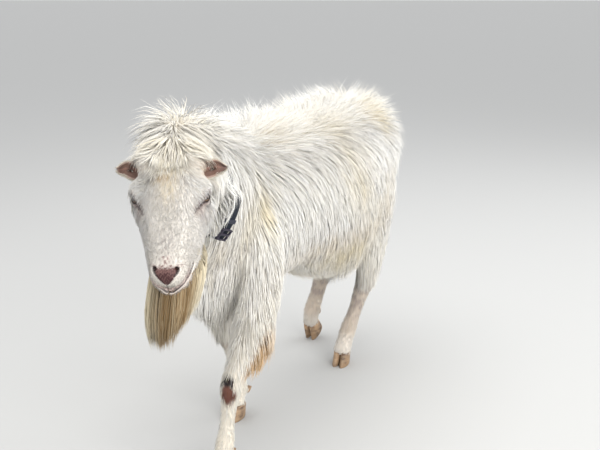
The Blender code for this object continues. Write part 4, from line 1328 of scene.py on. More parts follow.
    @staticmethod
    def lid(local: Array, socket: EyeSocket) -> Array:
        """Return the points with the skin drawn over one eyeball, open between the lids."""
        centre = socket.frame()[0]
        gap, rise, out = socket.beyond(local)
        o = local - centre
        r = np.linalg.norm(o, axis=1)
        near = (r < 0.030) & (out > -0.004)
        lid = socket.radius + 0.0011
        hold = ease(gap, 0.0100, 0.0015) * ease(out, -0.001, 0.005)
        fold = bell(gap, 0.0042, 0.0010) - 0.8 * bell(gap, 0.0022, 0.0012)
        second = bell(gap, 0.0078, 0.0013) * np.where(rise > 0, 1.0, 0.7)
        wanted = lid - 0.0011 * fold - 0.0007 * second
        fresh = r + (wanted - r) * hold
        fresh = np.maximum(fresh, socket.radius + 0.0009)
        fresh = np.where((gap < 0) & (out > 0), socket.radius - 0.0035, fresh)
        moved = centre + o / r[:, None] * fresh[:, None]
        return np.where(near[:, None], moved, local)

    def lid_rims(self) -> tuple[Array, Array]:
        """Return the points and triangles of the rims of the lids."""
        points, tris = [], []
        count, sides = 72, 8
        for socket in SOCKETS:
            rim, upper = socket.rim(count, 0.0004)
            centre = socket.frame()[0]
            out = unit(rim - centre)
            ahead = unit(np.roll(rim, -1, 0) - np.roll(rim, 1, 0))
            wide = np.cross(out, ahead)
            thick = np.where(upper, 0.00120, 0.00095)
            angle = 2 * math.pi * np.arange(sides) / sides
            ring = (rim[:, None] + (out[:, None] * np.cos(angle)[:, None]
                                    + wide[:, None] * np.sin(angle)[:, None]) * thick[:, None, None])
            faces = to_tris(hoop_faces(count, sides))
            if socket.side < 0:
                faces = faces[:, ::-1]
            tris.append(faces + sum(len(p) for p in points))
            points.append(HEAD.outside(ring.reshape(-1, 3)))
        return np.concatenate(points), np.concatenate(tris)

    def build(self, material: Finish) -> Thing:
        """Build the skin and return it."""
        shape = self.remeshed()
        self.relax(shape, lambda p: np.ones(len(p)), 3)
        for _ in range(2):
            self.refine(shape, self.on_head)
            self.relax(shape, self.on_head, 2)
        self.refine(shape, self.on_legs)
        self.relax(shape, self.on_legs, 2)
        self.refine(shape, self.on_detail)
        self.relax(shape, self.on_detail, 2)
        bmesh.ops.triangulate(shape, faces=shape.faces)
        shape.verts.index_update()
        points = np.array([v.co for v in shape.verts])
        tris = np.array([[v.index for v in f.verts] for f in shape.faces])
        shape.free()
        points, tris = self.largest(points, tris)
        normals = vertex_normals(points, tris)
        points = self.carve(points, normals)
        points[:, 2] = np.maximum(points[:, 2], 0.012)
        self.points, self.tris = points, tris
        self.normals = vertex_normals(points, tris)
        rims, rim_tris = self.lid_rims()
        whole = np.concatenate([points, rims])
        faces = np.concatenate([tris, rim_tris + len(points)])
        tones = np.concatenate([MARKINGS_AND_SHADE.skin(points), np.tile((0.035, 0.024, 0.022), (len(rims), 1))])
        replaced = ["head", "lower_jaw", "neck", "trunk", "tail", "thigh_left", "thigh_right",
                    "foreleg_left_upper", "foreleg_right_upper"]
        replaced += [name + "_lower" for name in LEGS]
        bare = np.concatenate([MARKINGS_AND_SHADE.bare(points), np.ones(len(rims))])
        return Piece("skin", Slot.COAT, whole, faces, material, tones, replaced=tuple(replaced),
                     extras={"bare": np.repeat(bare[:, None], 3, 1)}).place()

    @staticmethod
    def largest(points: Array, tris: Array) -> tuple[Array, Array]:
        """Return only the largest closed body of the mesh."""
        label = np.arange(len(points))
        while True:
            low = label.copy()
            for a, b in ((0, 1), (1, 2), (2, 0)):
                np.minimum.at(low, tris[:, a], label[tris[:, b]])
                np.minimum.at(low, tris[:, b], label[tris[:, a]])
            low = low[low]
            if (low == label).all():
                break
            label = low
        kinds, counts = np.unique(label[tris[:, 0]], return_counts=True)
        keep = label[tris[:, 0]] == kinds[counts.argmax()]
        tris = tris[keep]
        used = np.unique(tris)
        index = np.full(len(points), -1)
        index[used] = np.arange(len(used))
        return points[used], index[tris]


# ---------------------------------------------------------------- the lie of the coat


@dataclass
class Groom:
    """What each lock is like: its length, width and how far it stands off at root and tip."""

    length: Array
    width: Array
    lift: Array
    lay: Array
    curl: Array
    stray: Array
    clump: Array
    hang: Array


@dataclass(frozen=True)
class Lie:
    """Which way the coat lies at each place, and how long and raised it is there.

    body_locks, leg_locks and face_locks are the locks for each square metre of skin.
    """

    body_locks: int = 42000
    leg_locks: int = 46000
    face_locks: int = 140000

    def weights(self, points: Array) -> dict[str, Array]:
        """Return how much each region has at the points; they sum to about one."""
        local = HEAD.inside(points)
        x, y, z = points.T
        head = ease(local[:, 1], 0.085, 0.050) * ease(np.linalg.norm(local, axis=1), 0.25, 0.21)
        legs = np.zeros(len(points))
        for name in LEGS:
            line = leg_line(name, z)
            near = ease(np.hypot(x - line[:, 0], (y - line[:, 1]) * 0.8), 0.10, 0.065)
            legs = np.maximum(legs, near * ease(z, LEG_TOP[name] + 0.05, LEG_TOP[name] - 0.05))
        legs *= 1 - head
        tail = ease(y, 0.515, 0.540) * ease(np.abs(x), 0.060, 0.045) * ease(z, 0.54, 0.57) * (1 - head)
        neck = ease(y, -0.24, -0.34) * (1 - head) * (1 - legs)
        trunk = np.clip(1 - head - legs - tail - neck, 0, 1)
        return {"head": head, "legs": legs, "tail": tail, "neck": neck, "trunk": trunk}

    def flow(self, points: Array) -> Array:
        """Return the way the hair runs, before it is laid on the skin."""
        w = self.weights(points)
        x, y, z = points.T
        sway = Waves(21, 0.20, 2, 3)(points) * 0.10
        side = x / np.sqrt(x * x + 0.03 ** 2)
        top = ease(z, 0.655, 0.745)
        rear = ease(y, 0.30, 0.48)
        trunk = np.stack([side * (0.10 + 0.95 * top), 0.22 - 0.06 * top - 0.05 * rear,
                          -1.0 + 0.80 * top], -1)
        off = x - neck_line(y, 0)
        side = off / np.sqrt(off * off + 0.028 ** 2)
        high = ease(z - neck_line(y, 2), 0.02, 0.085)
        fore = ease(HEAD.inside(points)[:, 1], 0.205, 0.175) * ease(z, 0.74, 0.79)
        neck = np.stack([side * (0.15 + 0.85 * high) - 0.25 * high + 0.55 * fore,
                         -0.10 + 0.55 * high - 1.15 * fore, -1.0 + 1.0 * high - 0.3 * fore], -1)
        legs = np.stack([0 * x, 0.06 + 0 * x, -1.0 + 0 * x], -1)
        tail = np.stack([side * 0.25, 0.25 + 0 * x, -1.0 + 0 * x], -1)
        local = HEAD.inside(points)
        over = local[:, 0] / np.sqrt(local[:, 0] ** 2 + 0.035 ** 2)
        aside = np.abs(over)
        nape = np.stack([0.75 * over, -1.0 + 0.45 * aside, -0.15 - 0.5 * aside], -1) @ HEAD.turn.T
        neck += (nape - neck) * self.nape(local)[:, None]
        lx = local[:, 0] / np.sqrt(local[:, 0] ** 2 + 0.012 ** 2)
        flank = ease(np.abs(local[:, 0]), 0.022, 0.050)
        low = ease(local[:, 2], -0.005, -0.035)
        back = ease(local[:, 1], 0.000, 0.045)
        behind = ease(local[:, 1], -0.020, 0.025) * flank
        face = np.stack([lx * (0.10 + 0.35 * flank * (1 - low) + 0.45 * behind),
                         -1.0 + 1.15 * flank * (0.4 + 0.6 * low) + 0.35 * back * flank + 0.25 * behind,
                         -0.15 - 0.9 * flank], -1)
        head = face @ HEAD.turn.T
        flow = (trunk * w["trunk"][:, None] + neck * w["neck"][:, None] + legs * w["legs"][:, None]
                + tail * w["tail"][:, None] + head * w["head"][:, None])
        return flow + sway * (1 - 0.75 * w["head"] - 0.5 * w["legs"])[:, None]

    def groom(self, points: Array, rng: np.random.Generator) -> Groom:
        """Return the locks' measures at their roots."""
        w = self.weights(points)
        x, y, z = points.T
        top = ease(np.abs(x), 0.160, 0.030) * ease(z, 0.640, 0.72)
        ridge = (ease(np.abs(x), 0.090, 0.008) * ease(y, -0.28, -0.18) * ease(y, 0.49, 0.42)
                 * ease(z, 0.65, 0.71))
        neck_off = np.abs(x - neck_line(y, 0))
        neck_mid = neck_line(y, 2)
        crest = ease(neck_off, 0.075, 0.015) * ease(z - neck_mid, 0.03, 0.07)
        crest = crest * (1 - 0.80 * self.nape(HEAD.inside(points)))
        belly = ease(z, 0.45, 0.38) * ease(y, -0.12, 0.06)
        brisket = ease(z, 0.50, 0.42) * ease(y, -0.20, -0.28) * ease(x, 0.075, 0.035) * (1 - w["head"])
        fans = np.interp(y, (-0.30, -0.24, -0.16, -0.06, 0.02, 0.10, 0.20, 0.30, 0.42),
                         (0.8, 0.7, 1.25, 1.0, 0.62, 1.0, 1.25, 1.15, 0.9))
        trunk_length = 0.056 + 0.014 * top + 0.020 * belly + 0.033 * ridge * fans + 0.030 * brisket
        neck_length = 0.060 + 0.026 * crest
        fore = np.interp(z, (0.06, 0.20, 0.27, 0.36, 0.44), (0.010, 0.013, 0.021, 0.044, 0.056))
        hind = np.interp(z, (0.06, 0.20, 0.24, 0.27, 0.30, 0.44), (0.010, 0.013, 0.018, 0.036, 0.066, 0.066))
        local = HEAD.inside(points)
        poll = self.poll(local)
        ruff = self.ruff(local)
        face_length = (0.0065 + 0.006 * ease(local[:, 1], -0.10, -0.01)
                       + 0.008 * ease(local[:, 1], -0.01, 0.040) + 0.030 * poll + 0.036 * ruff)
        face_length *= 1 - 0.55 * ease(local[:, 1], -0.110, -0.150)
        face_length *= 1 - 0.55 * ease(MARKINGS_AND_SHADE.pad_shape(local), -0.014, -0.002)
        for socket in SOCKETS:
            face_length *= 1 - 0.60 * ease(np.linalg.norm(local - socket.frame()[0], axis=1), 0.026, 0.018)
        face_length *= 1 - 0.60 * ease(MARKINGS_AND_SHADE.tear_line(local)[0], 0.010, 0.004)
        length = (trunk_length * w["trunk"] + neck_length * w["neck"]
                  + np.where(y < 0.1, fore, hind) * w["legs"] + 0.055 * w["tail"] + face_length * w["head"])
        apron = (ease(round_leg("foreleg_right", points)[0], 0.11, 0.07) * ease(z, 0.240, 0.270)
                 * ease(z, 0.47, 0.42) * w["legs"])
        length += 0.030 * self.feather(points) + 0.034 * np.maximum(brisket * w["legs"], apron)
        length *= rng.uniform(0.72, 1.18, len(points))
        wisp = rng.random(len(points)) < (0.07 + 0.10 * ridge) * (1 - w["head"])
        length = np.where(wisp, length * 1.20, length)
        lift = (w["trunk"] * (0.25 + 0.52 * top + 0.36 * ridge) + w["neck"] * (0.28 + 0.68 * crest)
                + w["legs"] * (0.20 + 0.22 * ease(z, 0.26, 0.32) + 0.35 * self.feather(points) + 0.20 * apron
                               + 0.25 * ease(y, 0.15, 0.22) * ease(z, 0.25, 0.28) * ease(z, 0.38, 0.34))
                + w["tail"] * 0.35
                + w["head"] * (0.07 + 0.07 * ease(local[:, 1], -0.02, 0.04) + 0.04 * poll + 0.30 * ruff))
        lay = (w["trunk"] * (-0.06 + 0.44 * top + 0.44 * ridge) + w["neck"] * (-0.06 + 0.48 * crest)
               - w["legs"] * 0.03 + w["head"] * (-0.02 + 0.02 * poll + 0.08 * ruff))
        width = np.interp(length, (0.006, 0.02, 0.05, 0.09), (0.0009, 0.0014, 0.0021, 0.0023))
        width = np.where(wisp, width * 0.45, width * rng.uniform(0.7, 1.25, len(points)))
        breeches = ease(y, 0.15, 0.22) * ease(z, 0.46, 0.38) * ease(z, 0.245, 0.270)
        hang = np.clip(0.60 * breeches + 0.30 * self.feather(points) + 0.8 * np.maximum(brisket, apron)
                       + 0.4 * belly, 0, 0.9)
        wild = np.maximum(ridge, 0.8 * crest * w["neck"])
        noise = 0.05 + 0.15 * wild
        return Groom(length, width, lift + noise * rng.normal(0, 1, len(points)) + 0.14 * wisp,
                     lay + noise * rng.normal(0, 1, len(points)) + 0.08 * wisp, rng.normal(0, 1, len(points)),
                     0.07 + 0.26 * wild, 0.16 + 0.34 * wild + 0.10 * w["legs"], hang)

    @staticmethod
    def feather(points: Array) -> Array:
        """Return 1 behind the forearms, where a tuft of long hair hangs."""
        found = np.zeros(len(points))
        for name, amount in (("foreleg_left", 1.0), ("foreleg_right", 0.6)):
            gap, behind = round_leg(name, points)
            band = ease(points[:, 2], 0.272, 0.300) * ease(points[:, 2], 0.42, 0.36)
            found = np.maximum(found, amount * ease(gap, 0.09, 0.06) * band * ease(behind, 0.004, 0.022))
        return found

    @staticmethod
    def nape(local: Array) -> Array:
        """Return 1 on the top of the neck behind the poll, of points of the head's frame."""
        return ease(local[:, 1], 0.175, 0.145) * ease(local[:, 2], -0.030, 0.015)

    @staticmethod
    def poll(local: Array) -> Array:
        """Return 1 on the poll, where the mane begins, of points of the head's frame."""
        return ease(local[:, 1], 0.036, 0.066) * ease(local[:, 2], -0.010, 0.025)

    @staticmethod
    def ruff(local: Array) -> Array:
        """Return 1 on the jaw's angle and the throat, where the hair of the cheek hangs long."""
        low = ease(local[:, 2], 0.022, -0.012) * ease(local[:, 1], -0.045, 0.015)
        rear = ease(local[:, 1], 0.020, 0.040) * ease(local[:, 2], 0.040, 0.015)
        return np.maximum(low, rear) * ease(np.abs(local[:, 0]), 0.010, 0.030)

    def density(self, points: Array) -> Array:
        """Return the locks for each square metre of skin, before they are shared out."""
        w = self.weights(points)
        local = HEAD.inside(points)
        front = ease(local[:, 1], -0.06, -0.12)
        low_leg = ease(points[:, 2], 0.30, 0.22)
        crest = ease(points[:, 2], 0.70, 0.76)
        body = self.body_locks * (1 + 0.35 * crest)
        nape = self.nape(local)
        crown = 1 + 0.45 * ease(local[:, 1], -0.010, 0.040) * ease(local[:, 2], -0.010, 0.025)
        found = (w["trunk"] * body + w["neck"] * body * (1.05 + 0.8 * nape)
                 + w["tail"] * self.body_locks + w["legs"] * (self.leg_locks + 40000 * low_leg)
                 + w["head"] * crown * (self.face_locks + 90000 * front))
        return found * (1 - MARKINGS_AND_SHADE.bare(points)) * ease(MARKINGS_AND_SHADE.nostril(local)[0], 0.0025, 0.005)


LIE = Lie()


class Part(Enum):
    """The pieces that the coat is made in."""

    FACE = "coat_face"
    CROWN = "coat_crown"
    NECK_LEFT = "coat_neck_left"
    NECK_RIGHT = "coat_neck_right"
    SHOULDER_LEFT = "coat_shoulder_left"
    SHOULDER_RIGHT = "coat_shoulder_right"
    BARREL_LEFT = "coat_barrel_left"
    BARREL_RIGHT = "coat_barrel_right"
    RUMP_LEFT = "coat_rump_left"
    RUMP_RIGHT = "coat_rump_right"
    TAIL = "coat_tail"
    FORELEG_LEFT = "coat_foreleg_left"
    FORELEG_RIGHT = "coat_foreleg_right"
    HINDLEG_LEFT = "coat_hindleg_left"
    HINDLEG_RIGHT = "coat_hindleg_right"


PARTS = list(Part)


def part_of(points: Array) -> Array:
    """Return the number of the coat's piece that each root belongs to."""
    local = HEAD.inside(points)
    w = LIE.weights(points)
    x, y = points[:, 0], points[:, 1]
    found = np.where(y < 0.02, PARTS.index(Part.SHOULDER_LEFT),
                     np.where(y < 0.27, PARTS.index(Part.BARREL_LEFT), PARTS.index(Part.RUMP_LEFT)))
    found = found + (x < 0)
    neck = w["neck"] > 0.5
    off = x - neck_line(y, 0)
    found = np.where(neck, PARTS.index(Part.NECK_LEFT) + (off < 0), found)
    found = np.where(w["tail"] > 0.5, PARTS.index(Part.TAIL), found)
    nearest = np.full(len(points), np.inf)
    legs = (Part.FORELEG_LEFT, Part.FORELEG_RIGHT, Part.HINDLEG_LEFT, Part.HINDLEG_RIGHT)
    for name, part in zip(LEGS, legs):
        gap = round_leg(name, points)[0]
        closer = (w["legs"] > 0.5) & (gap < nearest)
        found = np.where(closer, PARTS.index(part), found)
        nearest = np.minimum(nearest, gap)
    head = np.where(local[:, 1] < -0.02, PARTS.index(Part.FACE), PARTS.index(Part.CROWN))
    return np.where(w["head"] > 0.5, head, found)


def unwrap(part: Part, points: Array) -> Array:
    """Return the roots' places on an unwrap of the skin: round the form and along it."""
    x, y, z = points.T
    if part in (Part.FACE, Part.CROWN):
        local = HEAD.inside(points)
        flat = np.stack([np.arctan2(local[:, 0], local[:, 2] + 0.025), local[:, 1]], -1)
    elif part in (Part.NECK_LEFT, Part.NECK_RIGHT):
        middle = neck_line(y, 2)
        flat = np.stack([np.arctan2(x - neck_line(y, 0), z - middle), y], -1)
    elif part.value.startswith("coat_foreleg") or part.value.startswith("coat_hindleg"):
        line = leg_line(part.value.removeprefix("coat_"), z)
        flat = np.stack([np.arctan2(x - line[:, 0], y - line[:, 1]), z], -1)
    elif part is Part.TAIL:
        flat = np.stack([np.arctan2(x, y - 0.545), z], -1)
    else:
        flat = np.stack([np.arctan2(x, z - 0.575), y], -1)
    low, high = flat.min(axis=0), flat.max(axis=0)
    return 0.02 + 0.96 * (flat - low) / np.maximum(high - low, 1e-6)


# ---------------------------------------------------------------- locks


@dataclass
class Locks:
    """Closed, three-sided, tapering locks of hair along their middle lines."""

    spines: Array
    widths: Array
    normals: Array
    tones: Array
    uvs: Array
    flatness: float = 0.55
    taper: tuple[float, ...] = (0.75, 1.0, 0.78, 0.45)

    def piece(self, name: str, slot: Slot, material: Finish, rng: np.random.Generator,
              replaced: tuple[str, ...] = ()) -> Thing:
        """Build all the locks as one piece.

        The spines are (rings + 1, locks, 3); the last point of each is its tip. The tones are
        (locks, 2, 3), at root and tip.

        Args:
            name: The piece's name.
            slot: Its material slot.
            material: Its material.
            rng: Rolls each lock a little about its line.
            replaced: The solids that it stands for.

        Returns:
            The piece.
        """
        rings, count = len(self.spines) - 1, self.spines.shape[1]
        ahead = unit(np.gradient(self.spines, axis=0))
        roll = rng.normal(0, 0.5, count)[:, None]
        size = (count, 3 * rings + 1)
        points, tones, normals = np.empty((*size, 3)), np.empty((*size, 3)), np.empty((*size, 3))
        uvs, lay = np.empty((*size, 2)), np.empty((*size, 3))
        lay[..., 0] = rng.random(count)[:, None]
        shape = np.interp(np.linspace(0, 1, rings + 1)[:-1], np.linspace(0, 0.8, len(self.taper)), self.taper)
        for k in range(rings):
            side = unit(np.cross(ahead[k], self.normals))
            rise = np.cross(side, ahead[k])
            stand = np.clip((ahead[k] * self.normals).sum(axis=1, keepdims=True) * 1.7 - 0.25, 0, 1)
            soft = unit(self.normals * 0.75 + rise * 0.55) * (1 - stand) + np.array((0.0, 0.0, 0.30)) * stand
            side, rise = (side * np.cos(roll) + rise * np.sin(roll),
                          rise * np.cos(roll) - side * np.sin(roll))
            half = (self.widths * shape[k] / 2)[:, None]
            s = k / rings
            for j, (a, b) in enumerate(((-1.0, -0.35), (0.0, 1.0), (1.0, -0.35))):
                spot = 3 * k + j
                points[:, spot] = self.spines[k] + side * half * a + rise * half * b * self.flatness
                bend = side * a * (0.18 + 0.58 * stand) + rise * stand * (1.3 * j * (2 - j) - 0.6)
                normals[:, spot] = unit(soft + bend)
                tones[:, spot] = self.tones[:, 0] + (self.tones[:, 1] - self.tones[:, 0]) * s ** 0.6
                uvs[:, spot] = self.uvs + np.array((0.0012 * a, 0.0026 * (s - 0.5) - 0.0005 * (j == 1)))
                lay[:, spot, 1:] = s, (a + 1) / 2
        points[:, -1] = self.spines[-1]
        normals[:, -1] = unit(soft + rise * 0.1)
        tones[:, -1] = self.tones[:, 1]
        uvs[:, -1] = self.uvs + np.array((0.0, 0.0013))
        lay[:, -1, 1:] = 1.0, 0.5
        tris = [(2, 1, 0)]
        for k in range(rings - 1):
            for j in range(3):
                a, b = 3 * k + j, 3 * k + (j + 1) % 3
                tris += [(b + 3, a + 3, a), (b, b + 3, a)]
        last = 3 * (rings - 1)
        tris += [(last + (j + 1) % 3, 3 * rings, last + j) for j in range(3)]
        faces = (np.array(tris)[None] + (np.arange(count) * size[1])[:, None, None]).reshape(-1, 3)
        return Piece(name, slot, points.reshape(-1, 3), faces, material, tones.reshape(-1, 3),
                     uvs.reshape(-1, 2), normals.reshape(-1, 3), {"lay": lay.reshape(-1, 3)},
                     replaced).place()


@dataclass
class Coat:
    """The whole coat: locks rooted on the skin, grown along the lie of the hair."""

    skin: Skin
    strap: Strap
    seed: int = 5
    sink: float = 0.0012

    def roots(self) -> tuple[Array, Array]:
        """Return the roots on the skin, evenly spread by density, and their normals."""
        rng = np.random.default_rng(self.seed)
        corners = self.skin.points[self.skin.tris]
        edges = corners[:, 1:] - corners[:, :1]
        area = np.linalg.norm(np.cross(edges[:, 0], edges[:, 1]), axis=1) / 2
        share = np.cumsum(area * LIE.density(corners.mean(axis=1)))
        count = int(share[-1])
        picks = np.searchsorted(share, (np.arange(count) + rng.uniform(0.1, 0.9, count)) * share[-1] / count)
        picks = np.clip(picks, 0, len(share) - 1)
        a, b = rng.random(count), rng.random(count)
        flip = a + b > 1
        a, b = np.where(flip, 1 - a, a), np.where(flip, 1 - b, b)
        mix = np.stack([1 - a - b, a, b], -1)[..., None]
        tri = self.skin.tris[picks]
        return (self.skin.points[tri] * mix).sum(axis=1), unit((self.skin.normals[tri] * mix).sum(axis=1))

    def grow(self, roots: Array, normals: Array, groom: Groom, steps: int,
             tree: KDTree) -> Array:
        """Return the locks' middle lines, step by step over the skin.

        Args:
            roots: Where the locks start.
            normals: The skin's normals there.
            groom: The locks' measures.
            steps: How many pieces each lock has.
            tree: The skin's points, to find the nearest.

        Returns:
            The lines, as (steps + 1, locks, 3).
        """
        spine = [roots - normals * self.sink]
        point, normal = roots.copy(), normals
        step = (groom.length / steps)[:, None]
        wave = Waves(31, 0.05, 2, 3)(roots)
        for k in range(steps):
            t = (k + 0.35) / steps
            lift = (groom.lift * (1 - t) + groom.lay * t)[:, None]
            flow = across(LIE.flow(point) + wave * 0.030 * (1 + 2 * t), normal)
            sideways = np.cross(normal, flow) * (groom.curl * groom.stray)[:, None]
            way = unit(flow * np.cos(lift) + normal * np.sin(lift) + sideways)
            way = unit(way + (np.array((0.0, 0.0, -1.0)) - way) * (groom.hang * min(1.0, 0.35 + t))[:, None])
            point = point + way * step
            found = [tree.find(p)[1] for p in point]
            normal = unit(self.skin.normals[found] + normal * 0.6)
            height = ((point - self.skin.points[found]) * self.skin.normals[found]).sum(axis=1)
            least = 0.0006 + 0.0012 * (k + 1)
            point = point + normal * np.maximum(least - height, 0)[:, None]
            point = self.strap.press(point, roots, groom.curl)
            spine.append(point)
        return np.array(spine)

    @staticmethod
    def gather(spine: Array, roots: Array, groom: Groom, every: int) -> Array:
        """Return the lines drawn together towards every so many-th of them, in wisps."""
        guides = np.arange(0, len(roots), every)
        tree = KDTree(len(guides))
        for i in guides:
            tree.insert(roots[i], int(i))
        tree.balance()
        nearest = np.array([tree.find(root)[1] for root in roots])
        amount = groom.clump * (1.0 + 0.5 * np.tanh(groom.curl))
        gathered = spine.copy()
        for k in range(1, len(spine)):
            t = (k / (len(spine) - 1)) ** 1.3
            gathered[k] += (spine[k][nearest] - spine[k]) * (amount * t)[:, None]
        return gathered

    def build(self, material: Finish, down: Finish) -> list[Thing]:
        """Build all pieces of the coat and return them.

        Args:
            material: The finish of the long hair.
            down: The finish of the face's short hair.

        Returns:
            The pieces.
        """
        tree = KDTree(len(self.skin.points))
        for i, point in enumerate(self.skin.points):
            tree.insert(point, i)
        tree.balance()
        roots, normals = self.roots()
        parts = part_of(roots)
        made = []
        for number, part in enumerate(PARTS):
            chosen = parts == number
            rng = np.random.default_rng(self.seed + 10 + number)
            root, normal = roots[chosen], normals[chosen]
            groom = LIE.groom(root, rng)
            steps = 2 if part is Part.FACE else 3
            spine = self.grow(root, normal, groom, steps, tree)
            if part is not Part.FACE:
                spine = self.gather(spine, root, groom, 8)
            base = MARKINGS_AND_SHADE.tone(root)
            spread = 0.036 if part in (Part.FACE, Part.CROWN) else 0.021
            shade = rng.normal(1.0, spread, (len(root), 1)) + 0.02 * Waves(41, 0.02, 2)(root)
            warmth = rng.normal(0, 0.016, (len(root), 1)) * np.array((0.3, 0.0, -1.0))
            # roots a little darker and warmer than the tips: painted shade at the roots, partly a warmer tone
            root_tone = np.clip(base * np.array((0.985, 0.970, 0.950)) * shade + warmth, 0.01, 0.96)
            tip_tone = np.clip(base * shade * 1.01 + warmth, 0.01, 0.96)
            finish = down if part is Part.FACE else material
            w = LIE.weights(root)
            around = unit((root - np.array((0.0, 0.0, 0.52))) * np.array((1.0, 0.0, 1.0)))
            normal = unit(normal + around * (0.8 * w["trunk"] + 0.5 * w["neck"])[:, None])
            locks = Locks(spine, groom.width, normal, np.stack([root_tone, tip_tone], 1), unwrap(part, root))
            made.append(locks.piece(part.value, Slot.COAT, finish, rng))
        return made


# ---------------------------------------------------------------- beard


@dataclass(frozen=True)
class Beard:
    """The beard: fine straight hair that hangs from chin and jaw and narrows to its tips."""

    count: int = 5200
    root: Triple = (0.013, -0.088, -0.056)
    slope: float = 0.40
    slant: float = 0.55
    levels: tuple[tuple[float, float, float, float], ...] = (
        (-0.030, 0.052, 0.032, 0.000),
        (0.000, 0.066, 0.043, 0.000),
        (0.030, 0.069, 0.051, 0.002),
        (0.056, 0.064, 0.051, 0.008),
        (0.084, 0.056, 0.048, 0.016),
        (0.106, 0.047, 0.043, 0.022),
        (0.124, 0.040, 0.038, 0.026),
        (0.150, 0.030, 0.030, 0.030),
    )

    def at(self, drop: Array, turn: Array, reach: Array) -> Array:
        """Return places in the beard: how far down, which way from its middle and how far out."""
        table = np.array(self.levels)
        half_long, half_wide, lean = (np.interp(drop, table[:, 0], table[:, i]) for i in (1, 2, 3))
        yaw = HEAD.yaw
        forward = np.array((math.sin(yaw), -math.cos(yaw), 0.0))
        over = np.array((math.cos(yaw), math.sin(yaw), 0.0))
        lock = 1 + 0.05 * np.cos(5 * turn) * drop / 0.1
        along = np.cos(turn) * half_long * lock * reach + lean
        sideways = np.sin(turn) * (half_wide + 0.003) * lock * reach - 0.014 * drop / 0.1
        slope = -self.slope * half_long * np.cos(turn) * reach
        fall = drop - self.slant * np.clip(2 * drop, 0, half_wide) * np.sin(turn) * reach
        root = HEAD.outside(np.array(self.root))
        return (root + forward * along[:, None] + over * sideways[:, None]
                + np.array((0.0, 0.0, 1.0)) * (slope - fall)[:, None])

    def build(self, material: Finish) -> Thing:
        """Build the beard and return it."""
        rng = np.random.default_rng(77)
        n = self.count
        turn = rng.uniform(0, 2 * math.pi, n)
        reach = rng.uniform(0.02, 1.0, n) ** 0.42
        start = rng.uniform(-0.022, 0.012, n)
        start = np.where(reach > 0.85, np.maximum(start, -0.008), start)
        end = 0.141 * (1 - 0.10 * reach ** 3) * rng.uniform(0.72, 1.04, n)
        end *= 1 - 0.20 * np.maximum(np.sin(turn), 0) * reach
        wisp = Waves(78, 0.9, 2)(np.stack([np.cos(turn) * 2, np.sin(turn) * 2, reach], -1))[:, 0]
        end *= 1 + 0.07 * wisp
        steps = 4
        spine = []
        drift = rng.normal(0, 0.05, n)
        for k in range(steps + 1):
            t = k / steps
            drop = start + (end - start) * t
            squeeze = reach * (1.02 - 0.05 * t ** 2) + 0.03 * drift * t
            spine.append(self.at(drop, turn + drift * 1.6 * t * t + 0.10 * wisp * t, squeeze))
        spine = np.array(spine)
        outward = unit(spine[1] - self.at(np.full(n, 0.03), turn, np.full(n, 0.01)))
        base = self.tones(turn, reach, wisp, rng)
        uvs = np.stack([0.02 + 0.96 * turn / (2 * math.pi),
                        0.02 + 0.96 * (reach - reach.min()) / np.ptp(reach)], -1)
        width = np.where(reach > 0.8, 0.0016, 0.0024) * rng.uniform(0.7, 1.3, n)
        locks = Locks(spine, width, outward, base, uvs)
        return locks.piece("beard_locks", Slot.BEARD, material, rng, ("beard",))

    def tones(self, turn: Array, reach: Array, wisp: Array, rng: np.random.Generator) -> Array:
        """Return the locks' colours at root and tip: tan in front, cream at the sides and back."""
        n = len(turn)
        front = ease(np.cos(turn), -0.1, 0.75)
        edge = ease(np.abs(np.sin(turn)), 0.50, 0.90) * ease(reach, 0.50, 0.85)
        tan = np.array((0.250, 0.156, 0.066))
        cream = np.array((0.72, 0.63, 0.45))
        mix = 0.04 + 0.85 * (1 - front) + 0.80 * edge + 0.14 * rng.normal(size=n) + 0.10 * wisp
        tone = tan + (cream - tan) * np.clip(mix, 0, 1)[:, None]
        tone = tone * rng.normal(1.0, 0.05, (n, 1))
        # roots darker and warmer than the tips: painted shade at the roots, partly a warmer tone
        return np.stack([tone * np.array((0.90, 0.87, 0.82)), tone * 1.05], 1)


# ---------------------------------------------------------------- ears


